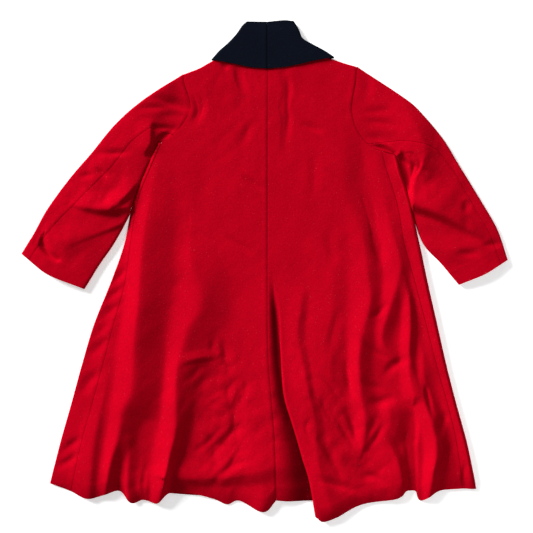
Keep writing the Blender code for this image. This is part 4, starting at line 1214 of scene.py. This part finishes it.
def melton(slot, colour, lint):
    """Matte felted wool: uneven dye, painted shade, a short nap that breaks up the light, and a little lint.
    """
    made = bpy.data.materials.new(f"{slot} wool")
    made.use_nodes = True
    nodes, links = made.node_tree.nodes, made.node_tree.links
    shader = nodes["Principled BSDF"]
    place = nodes.new("ShaderNodeTexCoord")

    def noise_node(scale, detail):
        node = nodes.new("ShaderNodeTexNoise")
        node.inputs["Scale"].default_value = scale
        node.inputs["Detail"].default_value = detail
        links.new(place.outputs["Object"], node.inputs["Vector"])
        return node.outputs["Fac"]

    def ranged(value, to, within=NOISE_RANGE):
        node = nodes.new("ShaderNodeMapRange")
        for name, number in zip(("From Min", "From Max", "To Min", "To Max"), (*within, *to)):
            node.inputs[name].default_value = number
        links.new(value, node.inputs["Value"])
        return node.outputs["Result"]

    def product(a, b):
        node = nodes.new("ShaderNodeMath")
        node.operation = "MULTIPLY"
        links.new(a, node.inputs[0])
        links.new(b, node.inputs[1])
        return node.outputs["Value"]

    def bump(height, strength, depth):
        node = nodes.new("ShaderNodeBump")
        node.inputs["Strength"].default_value = strength
        node.inputs["Distance"].default_value = depth
        links.new(height, node.inputs["Height"])
        return node

    nap = noise_node(NAP_SCALE, 2)
    felt = noise_node(FELT_SCALE, 4)
    broad = noise_node(BROAD_SCALE, 3)
    # Painted shade: the mesh's attribute darkens the colour, in place of shadow
    painted_shade = nodes.new("ShaderNodeAttribute")
    painted_shade.attribute_name = "painted_shade"
    shade = product(product(ranged(nap, NAP_DYE), ranged(felt, FELT_DYE)), ranged(broad, BROAD_DYE))
    shade = product(shade, ranged(painted_shade.outputs["Fac"], PAINTED_SHADE_FACTOR, (0, 1)))
    dyed = nodes.new("ShaderNodeMix")
    dyed.data_type = "RGBA"
    dyed.blend_type = "MULTIPLY"
    dyed.inputs["Factor"].default_value = 1
    dyed.inputs["A"].default_value = (*colour, 1)
    links.new(shade, dyed.inputs["B"])
    specks = nodes.new("ShaderNodeMix")
    specks.data_type = "RGBA"
    specks.inputs["B"].default_value = (*lint, 1)
    links.new(ranged(noise_node(LINT_SCALE, 0), LINT_COVER, LINT_RANGE), specks.inputs["Factor"])
    links.new(dyed.outputs["Result"], specks.inputs["A"])
    links.new(specks.outputs["Result"], shader.inputs["Base Color"])
    links.new(ranged(felt, ROUGHNESS), shader.inputs["Roughness"])

    napped = bump(nap, *NAP_BUMP)
    links.new(bump(felt, *FELT_BUMP).outputs["Normal"], napped.inputs["Normal"])
    links.new(napped.outputs["Normal"], shader.inputs["Normal"])
    shader.inputs["Specular IOR Level"].default_value = 0.0
    shader.inputs["Sheen Weight"].default_value = SHEEN
    shader.inputs["Sheen Roughness"].default_value = SHEEN_ROUGHNESS
    shader.inputs["Sheen Tint"].default_value = (*[min(1, c * SHEEN_LIFT) for c in colour], 1)


class CLOAK_OT_cloth(Operator):
    """Make the scarlet and navy melton"""

    bl_idname = "cloak.cloth"
    bl_label = "Melton"

    def execute(self, context):
        look = context.scene.cloak
        melton("scarlet_melton", look.scarlet, SCARLET_LINT)
        melton("navy_melton", look.navy, NAVY_LINT)
        return {"FINISHED"}


class CLOAK_OT_fronts(Operator):
    """Lay the two fronts, which wrap round the sides to the back"""

    bl_idname = "cloak.fronts"
    bl_label = "Fronts"

    def execute(self, context):
        for side in SIDES:
            front(side, context.scene.cloak)
        return {"FINISHED"}


class CLOAK_OT_backs(Operator):
    """Lay the two backs, with the pleat beside the centre-back seam"""

    bl_idname = "cloak.backs"
    bl_label = "Backs"

    def execute(self, context):
        back_left(context.scene.cloak)
        back_right(context.scene.cloak)
        return {"FINISHED"}


class CLOAK_OT_sleeves(Operator):
    """Lay both sleeves, each a top sleeve and an under sleeve"""

    bl_idname = "cloak.sleeves"
    bl_label = "Sleeves"

    def execute(self, context):
        for side in SIDES:
            sleeve(side, context.scene.cloak)
        return {"FINISHED"}


class CLOAK_OT_collar(Operator):
    """Set the navy collar: its stand and both halves of its fall"""

    bl_idname = "cloak.collar"
    bl_label = "Collar"

    def execute(self, context):
        collar_stand(context.scene.cloak)
        for side in SIDES:
            collar_fall(side, context.scene.cloak)
        return {"FINISHED"}


# The stage, in metres: a wide floor, a raking key light, two weaker lights, and a camera straight above.
FLOOR_HALF = 8.0
FLOOR_DROP = 0.0004
FLOOR_ROUGHNESS = 0.9
FLOOR_GLOSS = 0.1
KEY_AT = (-10.2, 8.2, 4.6)
KEY_SIZE = 5.0
TOP_AT = (0.7, -0.6, 1.3)
TOP_SIZE = 0.7
HEAD_AT = (2.5, 9.0, 3.6)
HEAD_SIZE = 3.0
CAMERA_OVER = (0.0056, 0.0126)
CAMERA_HEIGHT = 2.078
LENS = 50.0


class CLOAK_OT_stage(Operator):
    """Set up the floor, the lights and the camera"""

    bl_idname = "cloak.stage"
    bl_label = "Stage"

    def execute(self, context):
        look = context.scene.cloak
        scene = context.scene
        paint = bpy.data.materials.new("floor")
        paint.use_nodes = True
        shader = paint.node_tree.nodes["Principled BSDF"]
        shader.inputs["Base Color"].default_value = (*look.floor, 1)
        shader.inputs["Roughness"].default_value = FLOOR_ROUGHNESS
        shader.inputs["Specular IOR Level"].default_value = FLOOR_GLOSS
        shader.inputs["Emission Color"].default_value = (*look.floor, 1)
        shader.inputs["Emission Strength"].default_value = look.floor_glow
        turns = ((-1, -1), (1, -1), (1, 1), (-1, 1))
        corners = [(x * FLOOR_HALF, y * FLOOR_HALF, -FLOOR_DROP) for x, y in turns]
        mesh = bpy.data.meshes.new("floor")
        mesh.from_pydata(corners, [], [(0, 1, 2, 3)])
        mesh.materials.append(paint)
        floor = bpy.data.objects.new("floor", mesh)
        scene.collection.objects.link(floor)
        for name, at, size, power in (
            ("key light", KEY_AT, KEY_SIZE, look.key_power),
            ("top light", TOP_AT, TOP_SIZE, look.top_power),
            ("head light", HEAD_AT, HEAD_SIZE, look.head_power),
        ):
            lamp = bpy.data.lights.new(name, "AREA")
            lamp.size = size
            lamp.energy = power
            made = bpy.data.objects.new(name, lamp)
            made.location = at
            made.rotation_mode = "QUATERNION"
            made.rotation_quaternion = made.location.to_track_quat("Z", "Y")
            scene.collection.objects.link(made)
        world = bpy.data.worlds.new("studio")
        world.use_nodes = True
        world.node_tree.nodes["Background"].inputs["Color"].default_value = (1, 1, 1, 1)
        world.node_tree.nodes["Background"].inputs["Strength"].default_value = look.fill
        scene.world = world
        scene.view_settings.view_transform = "Standard"
        lens = bpy.data.cameras.new("camera")
        lens.lens = LENS
        camera = bpy.data.objects.new("camera", lens)
        camera.location = (*CAMERA_OVER, CAMERA_HEIGHT)
        scene.collection.objects.link(camera)
        scene.camera = camera
        return {"FINISHED"}


OPERATORS = [
    CLOAK_OT_cloth, CLOAK_OT_fronts, CLOAK_OT_backs, CLOAK_OT_sleeves, CLOAK_OT_collar, CLOAK_OT_stage,
]


class CLOAK_PT_panel(Panel):
    """Sizes, colours and steps of the cloak"""

    bl_idname = "CLOAK_PT_panel"
    bl_label = "Cavalry Cloak"
    bl_space_type = "VIEW_3D"
    bl_region_type = "UI"
    bl_category = "Cloak"

    def draw(self, context):
        for name in CloakSettings.__annotations__:
            self.layout.prop(context.scene.cloak, name)
        for step in OPERATORS:
            self.layout.operator(step.bl_idname)


CLASSES = [CloakSettings, *OPERATORS, CLOAK_PT_panel]


def register():
    for each in CLASSES:
        bpy.utils.register_class(each)
    bpy.types.Scene.cloak = PointerProperty(type=CloakSettings)


def unregister():
    del bpy.types.Scene.cloak
    for each in reversed(CLASSES):
        bpy.utils.unregister_class(each)


def main():
    """Makes the cloak and its stage."""
    register()
    bpy.ops.object.select_all(action="DESELECT")
    bpy.ops.cloak.cloth()
    bpy.ops.cloak.fronts()
    bpy.ops.cloak.backs()
    bpy.ops.cloak.sleeves()
    bpy.ops.cloak.collar()
    bpy.ops.cloak.stage()


if __name__ == "__main__":
    main()
